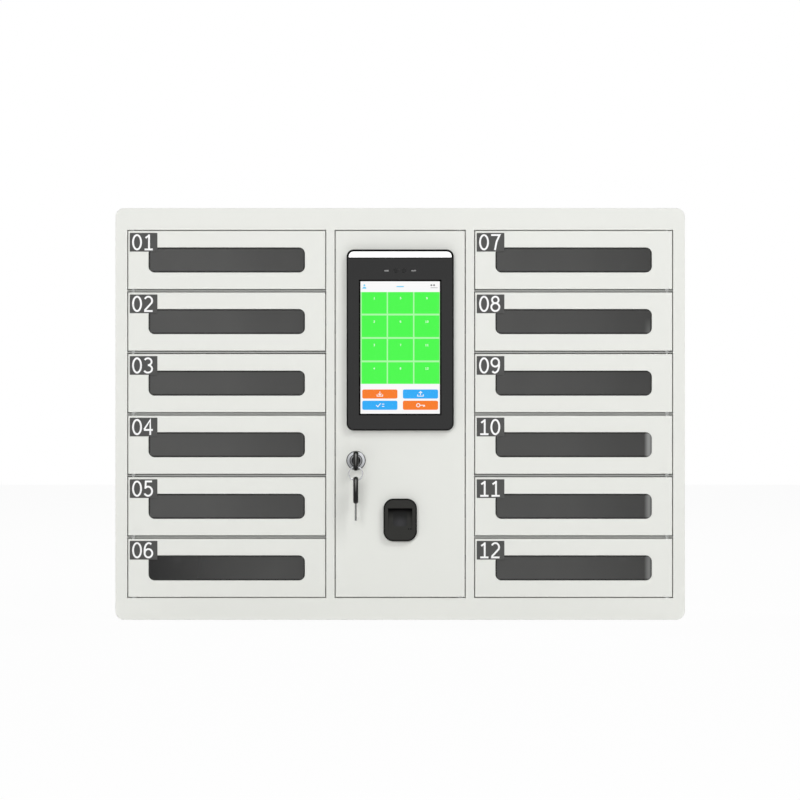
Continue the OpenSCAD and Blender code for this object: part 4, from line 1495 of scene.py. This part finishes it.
class LOCKER_OT_inner_works(LockerPiece, bpy.types.Operator):
    """Finishes the electric locks, the board, the supply and the inlet"""

    bl_idname = "locker.inner_works"
    bl_label = "Inner works"

    # The board's front lies this far behind its tallest part's
    board_parts = 15 * MM

    def make(self, scene):
        bolt = metal_finish("bolt_steel", srgb(196, 197, 198), 0.22, (0.1, 1, 1))
        for cell in CELLS:
            coat("lock_bolt_" + cell, bolt)
        coat("lock_bodies", self.lock_zinc())
        coat("control_board", self.board())
        coat("power_supply", self.supply())
        coat("power_inlet", self.inlet())

    @staticmethod
    def lock_zinc():
        """Zinc-plated housings with a black coil and socket at the back."""
        f = Finish("lock_zinc")
        coil_length = 16.02 * MM
        coil = f.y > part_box("lock_bodies")[1].y - coil_length
        bloom = f.noise(5 * MM, detail=3.0)
        zinc = f.mix(bloom, srgb(150, 154, 156), srgb(184, 186, 184))
        return f.close(
            base_color=f.mix(coil, zinc, srgb(38, 38, 40)),
            metallic=1 - coil,
            roughness=f.spread(bloom, 0.34, 0.48),
        )

    def board(self):
        """Green board with tracks, blue relays, pale sockets, a black chip and dark capacitors."""
        f = Finish("board_parts")
        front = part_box("control_board")[0].y + self.board_parts
        thickness = 1.65 * MM
        # Distances from the middle line: the chip and capacitors, then relays, then sockets
        chip_end, relay_start, relay_end, socket_start = 27 * MM, 27.9 * MM, 44.1 * MM, 49 * MM
        aside = f.x.size()
        proud = f.y < front - 0.05 * MM
        upright = f.node("ShaderNodeMapping", values={"Vector": f.place, "Rotation": (math.pi / 2, 0, 0)})
        tracks = f.node(
            "ShaderNodeTexBrick",
            {"offset": 0.5},
            {
                "Vector": upright,
                "Scale": 90.0,
                "Mortar Size": 0.06,
                "Brick Width": 1.6,
                "Row Height": 0.35,
            },
            output="Fac",
        )
        grain = f.noise(0.4 * MM, detail=2.0)
        pillars = f.y > front + thickness
        shade = f.mix(tracks, srgb(22, 92, 56), srgb(40, 122, 76))
        for where, tone in (
            (proud * f.inside(aside, relay_start, relay_end), srgb(38, 92, 168)),
            (proud * (aside > socket_start), srgb(216, 214, 204)),
            (proud * (aside < chip_end), srgb(36, 36, 38)),
            (pillars, srgb(190, 180, 130)),
        ):
            shade = f.mix(where, shade, tone)
        return f.close(
            base_color=shade,
            metallic=pillars,
            roughness=f.spread(grain, 0.36, 0.46),
            normal=f.bump(tracks, 0.2, 0.03 * MM),
        )

    @staticmethod
    def supply():
        """Galvanised cover over a black terminal strip."""
        f = Finish("supply_cover")
        strip_depth = 8.98 * MM
        strip = f.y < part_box("power_supply")[0].y + strip_depth
        size = {"Vector": f.place, "Scale": 1 / (5 * MM)}
        spangle = f.node("ShaderNodeTexVoronoi", values=size, output="Distance")
        cover = f.mix(spangle, srgb(166, 170, 173), srgb(196, 199, 201))
        return f.close(
            base_color=f.mix(strip, cover, srgb(32, 32, 34)),
            metallic=1 - strip,
            roughness=f.spread(spangle, 0.34, 0.5),
        )

    @staticmethod
    def inlet():
        """Black moulding with bright blades in its socket."""
        f = Finish("inlet_parts")
        low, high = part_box("power_inlet")
        depths = high.y - 16.9 * MM, high.y - 3 * MM
        half_x, half_z = 8.2 * MM, 3.5 * MM
        up = f.z - (low.z + high.z) / 2
        blades = f.inside(f.y, *depths) * (f.x.size() < half_x) * (up.size() < half_z)
        grain = f.noise(0.4 * MM, detail=3.0)
        return f.close(
            base_color=f.mix(blades, srgb(26, 26, 27), srgb(188, 189, 190)),
            metallic=blades,
            roughness=f.spread(grain, 0.35, 0.5),
            normal=f.bump(grain, 0.2, 0.02 * MM),
        )


class LOCKER_OT_fasteners(LockerPiece, bpy.types.Operator):
    """Makes the screws"""

    bl_idname = "locker.fasteners"
    bl_label = "Screws"

    def make(self, scene):
        tree = screw_tree(metal_finish("screw_zinc", srgb(182, 184, 184), 0.3))
        low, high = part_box("lock_bodies")
        ear_x, ear_y, ear_z = high.x - 1.5 * MM, low.y + 14 * MM, 16.5 * MM
        spots = []
        for cell in CELLS[:6]:
            mid = sum(p.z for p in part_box("door_" + cell)) / 2
            for side in (-1, 1):
                for up in (-1, 1):
                    spots.append(((side * ear_x, ear_y, mid + up * ear_z), (-side, 0, 0)))
        screws("lock_screws", tree, "cabinet", spots)

        low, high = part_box("control_board")
        front, inset = low.y + LOCKER_OT_inner_works.board_parts, 7 * MM
        columns, rows = (low.x + inset, high.x - inset), (low.z + inset, high.z - inset)
        spots = [((x, front, z), (0, -1, 0)) for x in columns for z in rows]
        screws("board_screws", tree, "cabinet", spots)

        low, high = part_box("terminal_case")
        columns, rows = (-44 * MM, 44 * MM), (low.z + 20 * MM, high.z - 20 * MM)
        spots = [((x, high.y, z), (0, 1, 0)) for x in columns for z in rows]
        screws("terminal_screws", tree, "service_panel", spots)


class LOCKER_OT_stage(LockerPiece, bpy.types.Operator):
    """Sets up the floor, the light and the camera"""

    bl_idname = "locker.stage"
    bl_label = "Stage"

    # The lamps face this height on the cabinet's middle line, and the camera stands a little
    # left of that line
    aim = Vector((0, 0, 0.22))
    camera_x = -0.2 * MM

    def make(self, scene):
        look = scene.locker_stage
        scene.view_settings.view_transform = "Standard"
        self.world(scene, look.sky)
        self.floor()
        self.lamp("key_lamp", look.key, 1.8, Vector((2.3, -4.0, 3.1)))
        front = self.lamp("front_lamp", look.front, 2.4, Vector((-0.7, -5.3, 0.8)))
        front.visible_glossy = False
        # The lamps at the sides stand behind the front, which they don't light
        for side in (-1, 1):
            self.lamp(f"side_lamp{side:+d}", look.side, 2.2, Vector((side * 3.5, 1.9, 3.2)))
        camera = bpy.data.cameras.new("camera")
        camera.lens = look.lens
        camera.sensor_width = 36
        camera.clip_end = 60
        held = new_object("camera", camera)
        held.location = (self.camera_x, FACE_Y - look.distance, look.height)
        held.rotation_euler = (math.pi / 2, 0, 0)
        scene.camera = held

    @staticmethod
    def world(scene, strength):
        """Even light on the object, which shows as white."""
        world = bpy.data.worlds.new("surround")
        world.use_nodes = True
        g = Graph(world.node_tree)
        g.tree.nodes.clear()
        even = g.node("ShaderNodeBackground", values={"Color": (1, 1, 1, 1), "Strength": strength})
        white = g.node("ShaderNodeBackground", values={"Color": (1, 1, 1, 1), "Strength": 1.0})
        both = g.node("ShaderNodeMixShader", values={0: g.seen(), 1: even, 2: white})
        g.node("ShaderNodeOutputWorld", values={"Surface": both})
        scene.world = world

    @staticmethod
    def floor():
        """A plain floor that shows white, with a faint shadow."""
        mesh = bpy.data.meshes.new("floor")
        mesh.from_pydata([(-8, -8, 0), (8, -8, 0), (8, 8, 0), (-8, 8, 0)], [], [(0, 1, 2, 3)])
        f = Finish("floor_white")
        f.tree.nodes.clear()
        pale = f.node("ShaderNodeBsdfDiffuse", values={"Color": (0.85, 0.85, 0.85, 1)})
        white = f.node("ShaderNodeEmission", values={"Color": (1, 1, 1, 1), "Strength": 1.0})
        both = f.node("ShaderNodeMixShader", values={0: f.seen() * 0.96, 1: pale, 2: white})
        f.node("ShaderNodeOutputMaterial", values={"Surface": both})
        mesh.materials.append(f.material)
        new_object("floor", mesh)

    def lamp(self, name, power, size, spot):
        """A square lamp that faces the cabinet."""
        light = bpy.data.lights.new(name, "AREA")
        light.energy = power
        light.size = size
        held = new_object(name, light)
        held.location = spot
        held.rotation_euler = (self.aim - spot).to_track_quat("-Z", "Y").to_euler()
        return held


LOOKS = {
    "locker_cabinet": LockerCabinetLook,
    "locker_plates": LockerPlateLook,
    "locker_screen": LockerScreenLook,
    "locker_lock": LockerLockLook,
    "locker_stage": LockerStageLook,
}
PIECES = (
    LOCKER_OT_cabinet,
    LOCKER_OT_doors,
    LOCKER_OT_plates,
    LOCKER_OT_service_door,
    LOCKER_OT_terminal,
    LOCKER_OT_screen,
    LOCKER_OT_reader,
    LOCKER_OT_lock,
    LOCKER_OT_keys,
    LOCKER_OT_inner_works,
    LOCKER_OT_fasteners,
    LOCKER_OT_stage,
)


class LOCKER_PT_panel(bpy.types.Panel):
    """Lists the looks and the pieces."""

    bl_idname = "LOCKER_PT_panel"
    bl_label = "Phone locker"
    bl_space_type = "VIEW_3D"
    bl_region_type = "UI"
    bl_category = "Locker"

    def draw(self, context):
        for name, group in LOOKS.items():
            box = self.layout.box()
            box.label(text=name.split("_")[1].capitalize())
            for setting in group.__annotations__:
                box.prop(getattr(context.scene, name), setting)
        for piece in PIECES:
            self.layout.operator(piece.bl_idname)


def register():
    """Registers the looks, the pieces and the panel."""
    for group in LOOKS.values():
        bpy.utils.register_class(group)
    for name, group in LOOKS.items():
        setattr(bpy.types.Scene, name, PointerProperty(type=group))
    for piece in (*PIECES, LOCKER_PT_panel):
        bpy.utils.register_class(piece)


def unregister():
    """Takes them out again."""
    for piece in (LOCKER_PT_panel, *reversed(PIECES)):
        bpy.utils.unregister_class(piece)
    for name, group in LOOKS.items():
        delattr(bpy.types.Scene, name)
        bpy.utils.unregister_class(group)


def main():
    """Makes every piece in order."""
    register()
    for piece in PIECES:
        group, name = piece.bl_idname.split(".")
        getattr(getattr(bpy.ops, group), name)()


if __name__ == "__main__":
    main()
